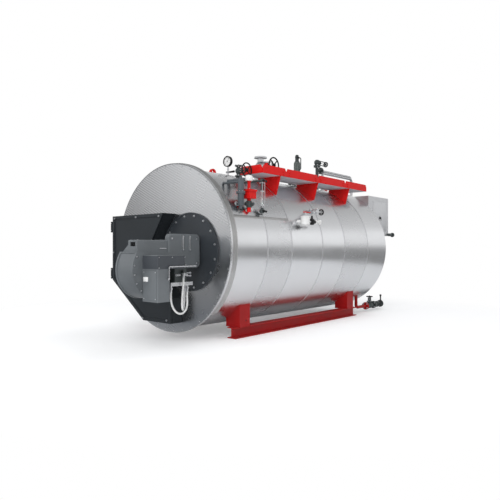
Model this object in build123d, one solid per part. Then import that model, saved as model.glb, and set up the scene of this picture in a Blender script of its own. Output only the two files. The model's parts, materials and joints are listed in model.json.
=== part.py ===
"""Horizontal three-pass steam boiler with its burner, shoulder walkway, fittings and rear economiser.

Millimetres, +Z up, standing on Z = 0. The burner end faces -Y, and the walkway and the
water-level fittings are on the +X shoulder. Heights marked H are measured from the boiler axis,
a rise is measured up from the casing, and a drop is measured down from the level of its crown.
"""

import os
from math import acos, atan2, hypot, pi, radians, sqrt, tan

from build123d import *

# Seats and gaps
FIT = 0.3
MOVE_GAP = 6.0

# Shell, front hood and rear end
SHELL_R = 1030.0
GROUND_GAP = 110.0
SHELL_WALL = 110.0
SHELL_LENGTH = 4040.0
FACE_THICK = 25.0
FACE_CHAMFER = 14.0
REAR_THICK = 40.0
REAR_CHAMFER = 12.0
HOOD_STEP = 45.0
HOOD_WIDTH = 110.0
HOOD_END_ANGLE = 47.0
BEAD_HEIGHT = 7.0
BEAD_WIDTH = 18.0
BEAD_FIRST = 32.0
BEAD_PITCH = 29.0

# Smoke chamber on the front face: heights and sides of its outline
SMOKE_LEFT = -945.0
SMOKE_TOP_RIGHT = 112.0
SMOKE_RIGHT = 250.0
SMOKE_TOP_H = 430.0
SMOKE_BOTTOM_H = -925.0
SMOKE_DIAGONAL_X = -275.0
SMOKE_DIAGONAL_H = -429.0
SMOKE_WALL = 45.0
SMOKE_DEPTH = 169.0
DOOR_THICK = 25.0
DOOR_BORDER = 40.0
DOOR_RECESS = 10.0
TUBE_PLATE_THICK = 30.0
TUBE_R = 38.0
TUBE_PITCH = 140.0
TUBE_EDGE = 62.0
HINGE_HEIGHTS_H = (287.0, -345.0)
HINGE_OFFSET = 30.0
HINGE_PIN_R = 10.0
KNUCKLE_R = 18.0
KNUCKLE_LENGTH = 90.0
HINGE_EAR_THICK = 22.0
HINGE_EAR_REACH = 90.0

# Burner on its round mounting plate
BURNER_X = 395.0
BURNER_H = -48.0
BURNER_PLATE_R = 480.0
BURNER_PLATE_THICK = 25.0
PLATE_RIM_WIDTH = 20.0
PLATE_RIM_STEP = 6.0
PLATE_GAP = 20.0
BURNER_RIGHT_X = 605.0
HEAD_FRONT_Y = -530.0
HEAD_BOTTOM_H = -238.0
HEAD_CORNER_R = 60.0
SIDE_WIDTH = 60.0
SIDE_TOP_H = 158.0
SIDE_CORNER_R = 55.0
SIDE_EDGE_R = 14.0
SIDE_PLATE_GAP = 25.0
SCROLL_WIDTH = 306.0
SCROLL_Y = -685.0
SCROLL_H = -240.0
SCROLL_R = 325.0
SCROLL_LIP = 18.0
SCROLL_LIP_THICK = 14.0
SCROLL_RING_STEP = 8.0
SCROLL_RING_WIDTH = 26.0
SPLIT_H = -45.0
DUCT_WIDTH = 160.0
DUCT_SIDE_STEP = 20.0
DUCT_FRONT_Y = -941.0
DUCT_TOP_H = 82.0
DUCT_EDGE_R = 14.0
DUCT_SHOULDER_H = 30.0
DUCT_SHOULDER_WIDTH = 95.0
MOUTH_WIDTH = 90.0
MOUTH_HEIGHT = 46.0
MOUTH_EDGE = 23.0
MOUTH_DEPTH = 70.0
CABINET_WIDTH = 248.0
CABINET_FRONT_Y = -887.0
CABINET_REAR_Y = -720.0
CABINET_BOTTOM_H = -574.0
CABINET_TOP_H = -228.0
CABINET_EDGE_R = 10.0
SWITCH_TOP_H = -89.0
SWITCH_REAR_Y = -507.0
MOTOR_R = 104.0
MOTOR_LENGTH = 230.0
MOTOR_BELL = 34.0
MOTOR_BELL_R = 118.0
MOTOR_FIN_R = 116.0
MOTOR_FIN_THICK = 7.0
MOTOR_FINS = 20
TERMINAL_WIDTH = 100.0
TERMINAL_LENGTH = 110.0
TERMINAL_HEIGHT = 48.0
PUMP_WIDTH = 76.0
PUMP_Y = (-505.0, -330.0)
PUMP_H = (-390.0, -185.0)
OIL_PIPE_R = 7.0
OIL_PIPE_INSET = 22.0
OIL_PIPE_STANDOFF = 19.0
OIL_PIPE_H = -203.0
OIL_PIPE_LOW_H = -335.0
OIL_PIPE_FRONT_Y = -748.0
MANIFOLD_WIDTH = 70.0
MANIFOLD_Y = (-560.0, -232.0)
MANIFOLD_FOOT_X = 545.0
MANIFOLD_FOOT_LENGTH = 68.0
MANIFOLD_THICK = 40.0
HOSE_R = 11.0
HOSE_TAIL_R = 15.0

# Routes of the two oil hoses as (X, Y, H) points, from the burner back to its manifold
SUPPLY_ROUTE = (
    (655, -540, -470), (655, -540, -530), (655, -536, -595), (655, -519, -656), (655, -480, -711),
    (655, -425, -748), (655, -362, -750), (655, -312, -712), (655, -293, -651), (655, -295, -590),
    (655, -296, -530), (655, -296, -470),
)
RETURN_ROUTE = (
    (712, -402, -300), (712, -402, -380), (713, -412, -465), (713, -422, -550), (711, -424, -630),
    (693, -403, -686), (656, -359, -712), (613, -312, -700), (582, -276, -652), (572, -262, -592),
    (571, -260, -530), (571, -260, -470),
)

# Walkway on the right shoulder
WALK_INNER_X = 402.0
WALK_WIDTH = 394.0
WALK_FRONT_Y = 902.0
WALK_REAR_GAP = 291.0
WALK_DROP = 44.0
WALK_FLOOR_THICK = 10.0
KERB_HEIGHT = 112.0
KERB_THICK = 6.0
KERB_FIRST = 516.0
KERB_PLATE = 806.0
KERB_NOTCH_WIDTH = 60.0
KERB_NOTCH_DEPTH = 48.0
BRACKET_FIRST = 385.0
BRACKET_PITCH = 940.0
BRACKET_THICK = 12.0
BRACKET_TIP_IN = 81.0
BRACKET_DEPTH = 286.0

# Base beams and feet
BEAM_X = 667.0
BEAM_SIZE = 140.0
BEAM_FLANGE = 12.0
BEAM_WEB = 9.0
BEAM_FRONT_Y = 440.0
BEAM_REAR_GAP = 520.0
FOOT_FRONT_Y = 516.0
FOOT_REAR_GAP = 640.0
FOOT_LENGTH = 200.0
FOOT_PLATE = 15.0
FOOT_INNER_X = 505.0
FOOT_HOLE_R = 13.0
FOOT_HOLE_UP = 75.0
FOOT_HOLE_Y = 124.0

# Steam stop valve on the crown, stem towards the walkway
STEAM_Y = 1833.0
STEAM_NOZZLE = 73.0
STEAM_SPAN = 310.0
STEAM_FLANGE_R = 100.0
STEAM_FLANGE_THICK = 22.0
STEAM_BORE_R = 40.0
STEAM_BOLT_CIRCLE_R = 80.0
STEAM_BOLT_R = 9.0
STEAM_BOLTS = 8
STEAM_WHEEL_OUT = 262.0
STEAM_WHEEL_R = 125.0

# Vent valve on the shoulder in front of the walkway
VENT_X = 482.0
VENT_Y = 780.0
VENT_RISE = 113.0
VENT_SPAN = 150.0
VENT_BORE_R = 20.0
VENT_FLANGE_R = 48.0
VENT_FLANGE_THICK = 12.0
VENT_WHEEL_OUT = 147.0
VENT_WHEEL_R = 100.0

# Safety valve
SAFETY_FROM_REAR = 1232.0
SAFETY_NOZZLE = 40.0
SAFETY_NECK_R = 38.0
SAFETY_FLANGE_R = 80.0
SAFETY_FLANGE_THICK = 24.0
SAFETY_BODY_R = 62.0
SAFETY_BODY_HEIGHT = 142.0
SAFETY_JOINT_R = 74.0
SAFETY_JOINT_THICK = 20.0
SAFETY_BONNET_R = 47.0
SAFETY_BONNET_HEIGHT = 217.0
SAFETY_CAP_R = 31.0
SAFETY_CAP_HEIGHT = 110.0
SAFETY_OUTLET_R = 42.0
SAFETY_OUTLET_REACH = 130.0
SAFETY_LEVER_R = 8.0
SAFETY_LEVER_REACH = 78.0

# Feed valve and the pipes to the economiser
FEED_FROM_REAR = 614.0
FEED_TEE_RISE = 370.0
FEED_FLANGE_RISE = 421.0
FEED_VALVE_RISE = 506.0
FEED_RISER_R = 28.0
FEED_FLANGE_R = 60.0
FEED_FLANGE_THICK = 16.0
FEED_BORE_R = 24.0
FEED_WHEEL_OUT = 290.0
FEED_WHEEL_R = 50.0
FEED_TEE_REACH = 110.0
FEED_PIPE_R = 22.0
FEED_PIPE_SPACE = 110.0
FEED_PIPE_STEP = 66.0
FEED_DROP_IN = (193.0, 363.0)

# Pressure gauge and lifting lugs
GAUGE_Y = 1096.0
GAUGE_RISE = 216.0
GAUGE_R = 76.0
GAUGE_DEPTH = 46.0
GAUGE_PIPE_R = 12.0
GAUGE_COCK_RISE = 62.0
GAUGE_COCK_R = 16.0
GAUGE_COCK_LENGTH = 60.0
GAUGE_HANDLE_R = 9.0
GAUGE_HANDLE_LENGTH = 50.0
LUG_FRONT_Y = 780.0
LUG_REAR_GAP = 340.0
LUG_R = 56.0
LUG_THICK = 30.0
LUG_HOLE_R = 22.0

# Level fittings in front of the walkway, set out from the casing at their lower ends
BOTTLE_OUT = 36.0
BOTTLE_Y = 296.0
BOTTLE_R = 68.0
BOTTLE_DROP = 180.0
BOTTLE_HEIGHT = 380.0
BOTTLE_DOME = 28.0
BOTTLE_PIPE_R = 20.0
LEVEL_OUT = 30.0
LEVEL_Y = 447.0
LEVEL_BOX_DROP = 322.0
LEVEL_BOX_HEIGHT = 110.0
LEVEL_BOX_WIDTH = 124.0
LEVEL_BOX_LENGTH = 128.0
LEVEL_LID_STEP = 9.0
LEVEL_LID_THICK = 24.0
LEVEL_PIPE_R = 24.0
LEVEL_NECK_R = 19.0
LEVEL_HEAD_R = 34.0
LEVEL_HEAD_HEIGHT = 60.0
LEVEL_STUB_R = 18.0
GLASS_OUT = 45.0
GLASS_Y = 681.0
GLASS_DROP = 318.0
GLASS_HEIGHT = 188.0
GLASS_R = 14.0
COCK_UPPER_DROP = 188.0
COCK_LOWER_DROP = 571.0
COCK_R = 15.0
COCK_NUT_R = 25.0
COCK_HANDLE_R = 7.0
COCK_HANDLE_LENGTH = 62.0

# Sample cooler and salinity valve on the right side
SAMPLE_Y = 1440.0
SAMPLE_H = 360.0
SAMPLE_OUT = 72.0
SAMPLE_POT_R = 62.0
SAMPLE_POT_HEIGHT = 118.0
SAMPLE_POT_TAPER = 18.0
SAMPLE_STUB_R = 24.0
SAMPLE_PIPE_R = 10.0
SAMPLE_PIPE_LENGTH = 190.0
SAMPLE_COCK_R = 26.0
SAMPLE_COCK_LENGTH = 60.0
SAMPLE_HANDLE_R = 36.0
SAMPLE_HANDLE_THICK = 10.0
SALT_H = 512.0
SALT_Y = 1740.0
SALT_OUT = 12.0
SALT_SPAN = 120.0
SALT_BORE_R = 16.0
SALT_FLANGE_R = 42.0
SALT_FLANGE_THICK = 12.0
SALT_STUB_R = 20.0
SALT_WHEEL_OUT = 188.0
SALT_WHEEL_R = 46.0

# Economiser and flue spigot at the rear
ECO_HALF_WIDTH = 690.0
ECO_DEPTH = 793.0
ECO_LOW_H = 240.0
ECO_HEIGHT = 708.0
ECO_WALL = 40.0
FLUE_R = 225.0
FLUE_WALL = 10.0
FLUE_COLLAR = 40.0
FLUE_LENGTH = 160.0
DRAIN_UP = 22.0
DRAIN_IN = 40.0
DRAIN_PIPE_R = 14.0
DRAIN_REACH = 34.0
DRAIN_COCK_R = 28.0
DRAIN_COCK_LENGTH = 74.0
DRAIN_STEM_R = 8.0
DRAIN_STEM_LENGTH = 58.0
DRAIN_HANDLE_R = 42.0
DRAIN_HANDLE_THICK = 14.0
COVER_R = 260.0
COVER_THICK = 35.0
COVER_BEVEL = 26.0
COVER_H = -420.0

# Blow-down line under the rear end
BLOW_X = 600.0
BLOW_REAR_GAP = 288.0
BLOW_UP = 102.0
BLOW_OVERHANG = 70.0
BLOW_PIPE_R = 26.0
BLOW_BEND_R = 60.0
BLOW_FLANGE_R = 66.0
BLOW_FLANGE_THICK = 18.0
BLOW_VALVE_LENGTH = 290.0
BLOW_WHEEL_OUT = 158.0
BLOW_WHEEL_R = 62.0
BLOW_LEVER_LENGTH = 165.0
BLOW_LEVER_THICK = 13.0
BLOW_LEVER_WIDTH = 28.0
BLOW_SPINDLE_R = 10.0
BLOW_BOSS_REACH = 64.0

# Proportions that all the globe valves and their wheels share
STEM_SHARE = 0.08
HUB_SHARE = 0.3
RIM_SHARE = 0.09
NECK_SHARE = 1.25
BELLY_SHARE = 2.1

X_DIR = (1, 0, 0)
Y_DIR = (0, 1, 0)
Z_DIR = (0, 0, 1)
LEFT = (-1, 0, 0)
FRONT = (0, -1, 0)
DOWN = (0, 0, -1)

AXIS_Z = SHELL_R + GROUND_GAP
HOOD_R = SHELL_R + HOOD_STEP


def at(x, y, h):
    """A point with its height given from the boiler axis."""
    return (x, y, AXIS_Z + h)


def shifted(point, direction, distance):
    """The point moved along a direction."""
    return tuple(p + d * distance for p, d in zip(point, direction))


def around(middle, size):
    """The two limits of a size centred on a middle."""
    return (middle - size / 2, middle + size / 2)


def block(x, y, h):
    """A box between pairs of limits, heights given from the boiler axis."""
    size = [high - low for low, high in (x, y, h)]
    middle = [(low + high) / 2 for low, high in (x, y, h)]
    return Pos(*at(*middle)) * Box(*size)


def rod(start, direction, radius, length):
    """A round bar from a point along a direction."""
    return Pos(0, 0, 0) * Solid.make_cylinder(radius, length, Plane(origin=start, z_dir=direction))


def turned(start, direction, *profile):
    """A solid of revolution from (radius, distance) points along its axis."""
    outline = make_face(Polyline(*profile, close=True))
    return Plane(origin=start, z_dir=direction).location * revolve(Plane.XZ * outline, Axis.Z)


def along_x(outline, x_low, x_high):
    """An outline drawn in (Y, H) pulled along X."""
    plane = Plane(origin=(x_low, 0, AXIS_Z), x_dir=Y_DIR, z_dir=X_DIR)
    return extrude(plane * outline, x_high - x_low)


def along_y(outline, y_low, y_high):
    """An outline drawn in (X, H) pulled along Y."""
    plane = Plane(origin=(0, y_high, AXIS_Z), x_dir=X_DIR, z_dir=FRONT)
    return extrude(plane * outline, y_high - y_low)


def polygon(*points):
    """A straight-sided face."""
    return make_face(Polyline(*points, close=True))


def bent_pipe(points, radius, bend):
    """A round pipe along straight runs with equal bends."""
    path = FilletPolyline(*points, radius=bend)
    section = Plane(origin=path @ 0, z_dir=path % 0) * Circle(radius)
    return sweep(section, path=path)


def on_shell(piece):
    """A fitting trimmed to the casing, with the seat gap, so that its foot follows the barrel."""
    return piece - rod((0, -SHELL_LENGTH, AXIS_Z), Y_DIR, SHELL_R + FIT, 3 * SHELL_LENGTH)


def crown_h(x):
    """Height of the casing over the axis at a side distance."""
    return sqrt(SHELL_R ** 2 - x ** 2)


def shell_x(h):
    """Side distance of the casing at a height from the axis."""
    return sqrt(SHELL_R ** 2 - h ** 2)


def riser(x, y, radius, top_h):
    """An upright pipe from inside the casing wall to a height."""
    low = crown_h(x) - SHELL_WALL / 2
    return on_shell(rod(at(x, y, low), Z_DIR, radius, top_h - low))


def stub_to_shell(x, y, h, radius):
    """A level pipe from a fitting back to the casing."""
    low = shell_x(h) - SHELL_WALL / 2
    return rod(at(low, y, h), X_DIR, radius, x - low)


def handwheel(centre, direction, wheel_r, spokes=4):
    """A spoked wheel whose hub runs on a stem through its centre."""
    stem_r = wheel_r * STEM_SHARE
    rim_r = wheel_r * RIM_SHARE
    hub_r = stem_r + wheel_r * 0.14
    hub_length = wheel_r * HUB_SHARE
    reach = wheel_r - rim_r
    wheel = revolve(Plane.XZ * Pos(reach, 0) * RegularPolygon(rim_r, 8), Axis.Z)
    wheel += Cylinder(hub_r, hub_length)
    for number in range(spokes):
        turn = Rot(0, 0, 360 * number / spokes + 45)
        wheel += turn * Pos(reach / 2, 0, 0) * Box(reach, rim_r * 1.4, rim_r)
    wheel -= Cylinder(stem_r + FIT, 2 * hub_length)
    return Plane(origin=centre, z_dir=direction).location * wheel


def globe_body(centre, flow, span, bore_r, flange_r, flange_thick):
    """Flanged body of a globe valve, turned about its flow axis."""
    half = span / 2
    neck = bore_r * NECK_SHARE
    belly = bore_r * BELLY_SHARE
    return turned(
        shifted(centre, flow, -half), flow,
        (0, 0), (flange_r, 0), (flange_r, flange_thick), (neck, flange_thick),
        (neck, half - belly * 0.9), (belly, half - belly * 0.35),
        (belly, half + belly * 0.35), (neck, half + belly * 0.9),
        (neck, span - flange_thick), (flange_r, span - flange_thick), (flange_r, span), (0, span),
    )


def bonnet(centre, stem, flow, bore_r, wheel_r, wheel_out):
    """Bonnet, gland, yoke and stem of a globe valve, up to the stem's end behind its wheel."""
    cover = bore_r * 2.2
    neck = bore_r * 2.8
    gland = bore_r * 3.4
    stem_r = wheel_r * STEM_SHARE
    end = wheel_out + wheel_r * HUB_SHARE
    yoke_top = wheel_out - wheel_r * HUB_SHARE / 2 - MOVE_GAP
    bridge = bore_r * 0.6
    arm_out = bore_r * 1.5
    arm_thick = bore_r * 0.45
    arm_width = bore_r * 0.8
    piece = turned(
        centre, stem,
        (0, 0), (bore_r * 1.35, 0), (bore_r * 1.35, cover), (bore_r * 1.9, cover), (bore_r * 1.9, neck),
        (bore_r, neck), (bore_r * 0.6, gland), (stem_r, gland), (stem_r, end), (0, end),
    )
    frame = Plane(origin=centre, x_dir=flow, z_dir=stem).location
    for hand in (1, -1):
        arm = Box(arm_thick, arm_width, yoke_top - neck)
        piece += frame * Pos(hand * arm_out, 0, (neck + yoke_top) / 2) * arm
    return piece + frame * Pos(0, 0, yoke_top - bridge / 2) * Box(2 * arm_out + arm_thick, arm_width, bridge)


# Shell, ends and front hood

def shell_casing():
    """Insulated barrel as an open tube between its two ends."""
    start = (0, FACE_THICK, AXIS_Z)
    length = SHELL_LENGTH - FACE_THICK - REAR_THICK
    return rod(start, Y_DIR, SHELL_R, length) - rod(start, Y_DIR, SHELL_R - SHELL_WALL, length)


def smoke_outline():
    """Front view of the smoke chamber, with its flank following the burner plate."""
    clear_r = BURNER_PLATE_R + PLATE_GAP
    flank_x = BURNER_X - clear_r
    reach_x = SMOKE_TOP_RIGHT - BURNER_X
    reach_h = SMOKE_TOP_H - BURNER_H
    touch = atan2(reach_h, reach_x) + acos(clear_r / hypot(reach_x, reach_h))
    upper_h = BURNER_H + clear_r * tan((pi - touch) / 2)
    lower_h = BURNER_H - clear_r * tan(pi / 8)
    return polygon(
        (SMOKE_LEFT, SMOKE_TOP_H),
        (SMOKE_TOP_RIGHT, SMOKE_TOP_H),
        (flank_x, upper_h),
        (flank_x, lower_h),
        (SMOKE_RIGHT, lower_h - (SMOKE_RIGHT - flank_x)),
        (SMOKE_RIGHT, SMOKE_BOTTOM_H),
        (SMOKE_DIAGONAL_X, SMOKE_BOTTOM_H),
        (SMOKE_LEFT, SMOKE_DIAGONAL_H),
    )


def smoke_inside(wall):
    """The chamber outline set in by a wall."""
    return offset(smoke_outline(), -wall, kind=Kind.INTERSECTION)


def tube_field():
    """The part of the chamber outline that lies over the tube plate."""
    return smoke_inside(SMOKE_WALL) & Circle(SHELL_R - SHELL_WALL - TUBE_EDGE / 2)


def front_end_plate():
    """Round front sheet with a chamfered edge and the smoke chamber's opening."""
    disc = turned(
        (0, 0, AXIS_Z), Y_DIR,
        (0, 0), (HOOD_R - FACE_CHAMFER, 0), (HOOD_R, FACE_CHAMFER), (HOOD_R, FACE_THICK), (0, FACE_THICK),
    )
    return disc - along_y(tube_field(), 0, FACE_THICK)


def front_hood_rim():
    """Band behind the front sheet, open at the bottom, with two pressed beads."""
    outline = [(SHELL_R + FIT, FACE_THICK), (HOOD_R, FACE_THICK)]
    for middle in (FACE_THICK + BEAD_FIRST, FACE_THICK + BEAD_FIRST + BEAD_PITCH):
        outline.append((HOOD_R, middle - BEAD_WIDTH / 2))
        outline.append((HOOD_R + BEAD_HEIGHT, middle - BEAD_WIDTH / 5))
        outline.append((HOOD_R + BEAD_HEIGHT, middle + BEAD_WIDTH / 5))
        outline.append((HOOD_R, middle + BEAD_WIDTH / 2))
    outline += [(HOOD_R, HOOD_WIDTH), (SHELL_R + FIT, HOOD_WIDTH)]
    band = turned((0, 0, AXIS_Z), Y_DIR, *outline)
    half = radians(90 - HOOD_END_ANGLE)
    reach = 2 * HOOD_R
    wedge = polygon((0, 0), (reach * tan(half), -reach), (-reach * tan(half), -reach))
    return band - along_y(wedge, 0, 2 * HOOD_WIDTH)


def rear_end_plate():
    """Round rear sheet with a chamfered edge."""
    return turned(
        (0, SHELL_LENGTH, AXIS_Z), FRONT,
        (0, 0), (SHELL_R - REAR_CHAMFER, 0), (SHELL_R, REAR_CHAMFER), (SHELL_R, REAR_THICK), (0, REAR_THICK),
    )


def tube_spots():
    """Centres of the smoke tubes, on a square grid inside the opening."""
    inside = offset(tube_field(), -TUBE_EDGE, kind=Kind.INTERSECTION)
    box = inside.bounding_box()
    columns = int((box.max.X - box.min.X) / TUBE_PITCH) + 1
    rows = int((box.max.Y - box.min.Y) / TUBE_PITCH) + 1
    spots = []
    for row in range(rows):
        for column in range(columns):
            spot = (box.min.X + column * TUBE_PITCH, box.min.Y + row * TUBE_PITCH)
            if any(face.is_inside((*spot, 0)) for face in inside.faces()):
                spots.append(spot)
    return spots


def tube_plate():
    """Plate behind the chamber with the mouths of the smoke tubes."""
    field = offset(smoke_outline(), -SMOKE_WALL / 2, kind=Kind.INTERSECTION)
    plate = along_y(
        field & Circle(SHELL_R - SHELL_WALL - FIT), FACE_THICK, FACE_THICK + TUBE_PLATE_THICK,
    )
    for x, h in tube_spots():
        plate -= rod(at(x, 0, h), Y_DIR, TUBE_R, 2 * FACE_THICK + 2 * TUBE_PLATE_THICK)
    return plate


# Smoke chamber and its door

DOOR_BACK_Y = -SMOKE_DEPTH - MOVE_GAP
DOOR_FRONT_Y = DOOR_BACK_Y - DOOR_THICK
HINGE_X = SMOKE_LEFT - HINGE_OFFSET
HINGE_Y = DOOR_BACK_Y - DOOR_THICK / 2


def smoke_box_housing():
    """Walls of the chamber, open to the tubes behind and to the door in front."""
    return along_y(smoke_outline(), -SMOKE_DEPTH, 0) - along_y(smoke_inside(SMOKE_WALL), -SMOKE_DEPTH, 0)


def smoke_box_door():
    """Door with a set-back panel and two knuckles on its hinge edge."""
    door = along_y(smoke_outline(), DOOR_FRONT_Y, DOOR_BACK_Y)
    door -= along_y(smoke_inside(DOOR_BORDER), DOOR_FRONT_Y, DOOR_FRONT_Y + DOOR_RECESS)
    strap_x = (HINGE_X, SMOKE_LEFT + DOOR_BORDER / 2)
    strap_y = (DOOR_FRONT_Y + DOOR_RECESS, DOOR_BACK_Y)
    for h in HINGE_HEIGHTS_H:
        low, high = around(h, KNUCKLE_LENGTH)
        door += block(strap_x, strap_y, (low, high))
        door += rod(at(HINGE_X, HINGE_Y, low), Z_DIR, KNUCKLE_R, KNUCKLE_LENGTH)
        door -= rod(at(HINGE_X, HINGE_Y, h - KNUCKLE_LENGTH), Z_DIR, HINGE_PIN_R + FIT, 2 * KNUCKLE_LENGTH)
    return door


def smoke_box_hinges():
    """Ears on the chamber's left wall, each pair joined by its pin."""
    hinges = []
    for h in HINGE_HEIGHTS_H:
        outer = KNUCKLE_LENGTH / 2 + MOVE_GAP + HINGE_EAR_THICK
        hinge = rod(at(HINGE_X, HINGE_Y, h - outer), Z_DIR, HINGE_PIN_R, 2 * outer)
        for low in (h - outer, h + outer - HINGE_EAR_THICK):
            levels = (low, low + HINGE_EAR_THICK)
            hinge += rod(at(HINGE_X, HINGE_Y, low), Z_DIR, KNUCKLE_R, HINGE_EAR_THICK)
            neck = (HINGE_Y, HINGE_Y + HINGE_EAR_REACH)
            hinge += block((HINGE_X - KNUCKLE_R, HINGE_X + KNUCKLE_R), neck, levels)
            foot = (MOVE_GAP - SMOKE_DEPTH, HINGE_Y + HINGE_EAR_REACH)
            hinge += block((HINGE_X - KNUCKLE_R, SMOKE_LEFT), foot, levels)
        hinges.append(hinge)
    return Compound(hinges)


# Burner

PLATE_FIELD_Y = PLATE_RIM_STEP - BURNER_PLATE_THICK
SCROLL_LEFT_X = BURNER_RIGHT_X - SCROLL_WIDTH
SIDE_LEFT_X = BURNER_RIGHT_X - SIDE_WIDTH
CABINET_X = (BURNER_RIGHT_X, BURNER_RIGHT_X + CABINET_WIDTH)
PUMP_X = (BURNER_RIGHT_X, BURNER_RIGHT_X + PUMP_WIDTH)


def burner_mounting_plate():
    """Round plate with a raised rim that closes the furnace mouth and carries the burner."""
    inner_r = BURNER_PLATE_R - PLATE_RIM_WIDTH
    return turned(
        at(BURNER_X, 0, BURNER_H), FRONT,
        (0, 0), (BURNER_PLATE_R, 0), (BURNER_PLATE_R, BURNER_PLATE_THICK), (inner_r, BURNER_PLATE_THICK),
        (inner_r, -PLATE_FIELD_Y), (0, -PLATE_FIELD_Y),
    )


def burner_head_housing():
    """Air housing between the fan and the plate, with a tall rounded cover on its right side."""
    size = (SIDE_LEFT_X + SIDE_WIDTH / 2 - SCROLL_LEFT_X, DUCT_TOP_H - HEAD_BOTTOM_H)
    middle = Pos(SCROLL_LEFT_X + size[0] / 2, HEAD_BOTTOM_H + size[1] / 2)
    head = along_y(middle * RectangleRounded(*size, HEAD_CORNER_R), HEAD_FRONT_Y, PLATE_FIELD_Y)
    cover_length = PLATE_FIELD_Y - SIDE_PLATE_GAP - HEAD_FRONT_Y
    cover_height = SIDE_TOP_H - HEAD_BOTTOM_H
    spot = Pos(HEAD_FRONT_Y + cover_length / 2, HEAD_BOTTOM_H + cover_height / 2)
    cover = along_x(
        spot * RectangleRounded(cover_length, cover_height, SIDE_CORNER_R), SIDE_LEFT_X, BURNER_RIGHT_X,
    )
    return head + fillet(cover.faces().sort_by(Axis.X)[-1].edges(), SIDE_EDGE_R)


def burner_fan_scroll():
    """Fan scroll with its shaft across the burner, flat on top and at the head, with a split lip."""
    drum = Pos(SCROLL_Y, SCROLL_H) * Circle(SCROLL_R)
    ring = Pos(SCROLL_Y, SCROLL_H) * Circle(SCROLL_R + SCROLL_RING_STEP)
    scroll = along_x(drum, SCROLL_LEFT_X, BURNER_RIGHT_X)
    scroll += along_x(ring, BURNER_RIGHT_X - SCROLL_RING_WIDTH, BURNER_RIGHT_X)
    scroll += along_x(ring, SCROLL_LEFT_X, SCROLL_LEFT_X + SCROLL_RING_WIDTH)
    width = (SCROLL_LEFT_X, BURNER_RIGHT_X)
    scroll -= block(width, (SCROLL_Y - 2 * SCROLL_R, SCROLL_Y + 2 * SCROLL_R), (SPLIT_H, SPLIT_H + SCROLL_R))
    scroll -= block(width, (HEAD_FRONT_Y, SCROLL_Y + 2 * SCROLL_R), around(SCROLL_H, 4 * SCROLL_R))
    lip_y = SCROLL_Y - sqrt(SCROLL_R ** 2 - (SPLIT_H - SCROLL_H) ** 2) - SCROLL_LIP
    return scroll + block(width, (lip_y, HEAD_FRONT_Y), (SPLIT_H - SCROLL_LIP_THICK, SPLIT_H))


def burner_air_intake():
    """Air duct on top of the scroll with a sloping shoulder and a mouth at the front."""
    right = BURNER_RIGHT_X - DUCT_SIDE_STEP
    left = right - DUCT_WIDTH
    outline = polygon(
        (left - DUCT_SHOULDER_WIDTH, SPLIT_H), (right, SPLIT_H), (right, DUCT_TOP_H), (left, DUCT_TOP_H),
        (left, DUCT_SHOULDER_H),
    )
    duct = along_y(outline, DUCT_FRONT_Y, HEAD_FRONT_Y)
    duct = fillet(duct.edges().filter_by(Axis.Y).group_by(Axis.Z)[-1], DUCT_EDGE_R)
    mouth_h = (DUCT_TOP_H - MOUTH_EDGE - MOUTH_HEIGHT, DUCT_TOP_H - MOUTH_EDGE)
    mouth_y = (DUCT_FRONT_Y, DUCT_FRONT_Y + MOUTH_DEPTH)
    return duct - block(around((left + right) / 2, MOUTH_WIDTH), mouth_y, mouth_h)


def burner_control_cabinet():
    """Box for the burner controls on the right side of the fan."""
    box = block(CABINET_X, (CABINET_FRONT_Y, CABINET_REAR_Y), (CABINET_BOTTOM_H, CABINET_TOP_H))
    return fillet(box.edges().filter_by(Axis.Z).group_by(Axis.X)[-1], CABINET_EDGE_R)


def burner_switch_housing():
    """Long switch housing over the control cabinet."""
    box = block(CABINET_X, (CABINET_FRONT_Y, SWITCH_REAR_Y), (CABINET_TOP_H, SWITCH_TOP_H))
    return fillet(box.edges().filter_by(Axis.Z).group_by(Axis.X)[-1], CABINET_EDGE_R)


def burner_motor():
    """Finned fan motor with two end bells and a terminal box, on the left side of the scroll."""
    start = at(SCROLL_LEFT_X, SCROLL_Y, SCROLL_H)
    motor = turned(
        start, LEFT,
        (0, 0), (MOTOR_BELL_R, 0), (MOTOR_BELL_R, MOTOR_BELL), (MOTOR_R, MOTOR_BELL),
        (MOTOR_R, MOTOR_LENGTH - MOTOR_BELL), (MOTOR_BELL_R, MOTOR_LENGTH - MOTOR_BELL),
        (MOTOR_BELL_R * 0.75, MOTOR_LENGTH), (0, MOTOR_LENGTH),
    )
    frame = Plane(origin=start, z_dir=LEFT).location
    fin = Box(MOTOR_FIN_R - MOTOR_R / 2, MOTOR_FIN_THICK, MOTOR_LENGTH - 2 * MOTOR_BELL)
    for number in range(MOTOR_FINS):
        turn = Rot(0, 0, 360 * number / MOTOR_FINS)
        motor += frame * turn * Pos((MOTOR_FIN_R + MOTOR_R / 2) / 2, 0, MOTOR_LENGTH / 2) * fin
    box_h = (SCROLL_H + MOTOR_R / 2, SCROLL_H + MOTOR_FIN_R + TERMINAL_HEIGHT)
    middle = SCROLL_LEFT_X - MOTOR_LENGTH / 2
    return motor + block(around(middle, TERMINAL_LENGTH), around(SCROLL_Y, TERMINAL_WIDTH), box_h)


def oil_pump_block():
    """Valve block on the side of the burner, with the elbow of the return hose."""
    x, y, h = RETURN_ROUTE[0]
    elbow_h = h + 2 * HOSE_TAIL_R
    pump = block(PUMP_X, PUMP_Y, PUMP_H)
    pump += rod(at(PUMP_X[0] + HOSE_TAIL_R, y, elbow_h), X_DIR, HOSE_TAIL_R, x - PUMP_X[0])
    return pump + rod(at(x, y, h), Z_DIR, HOSE_TAIL_R, elbow_h - h)


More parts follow.
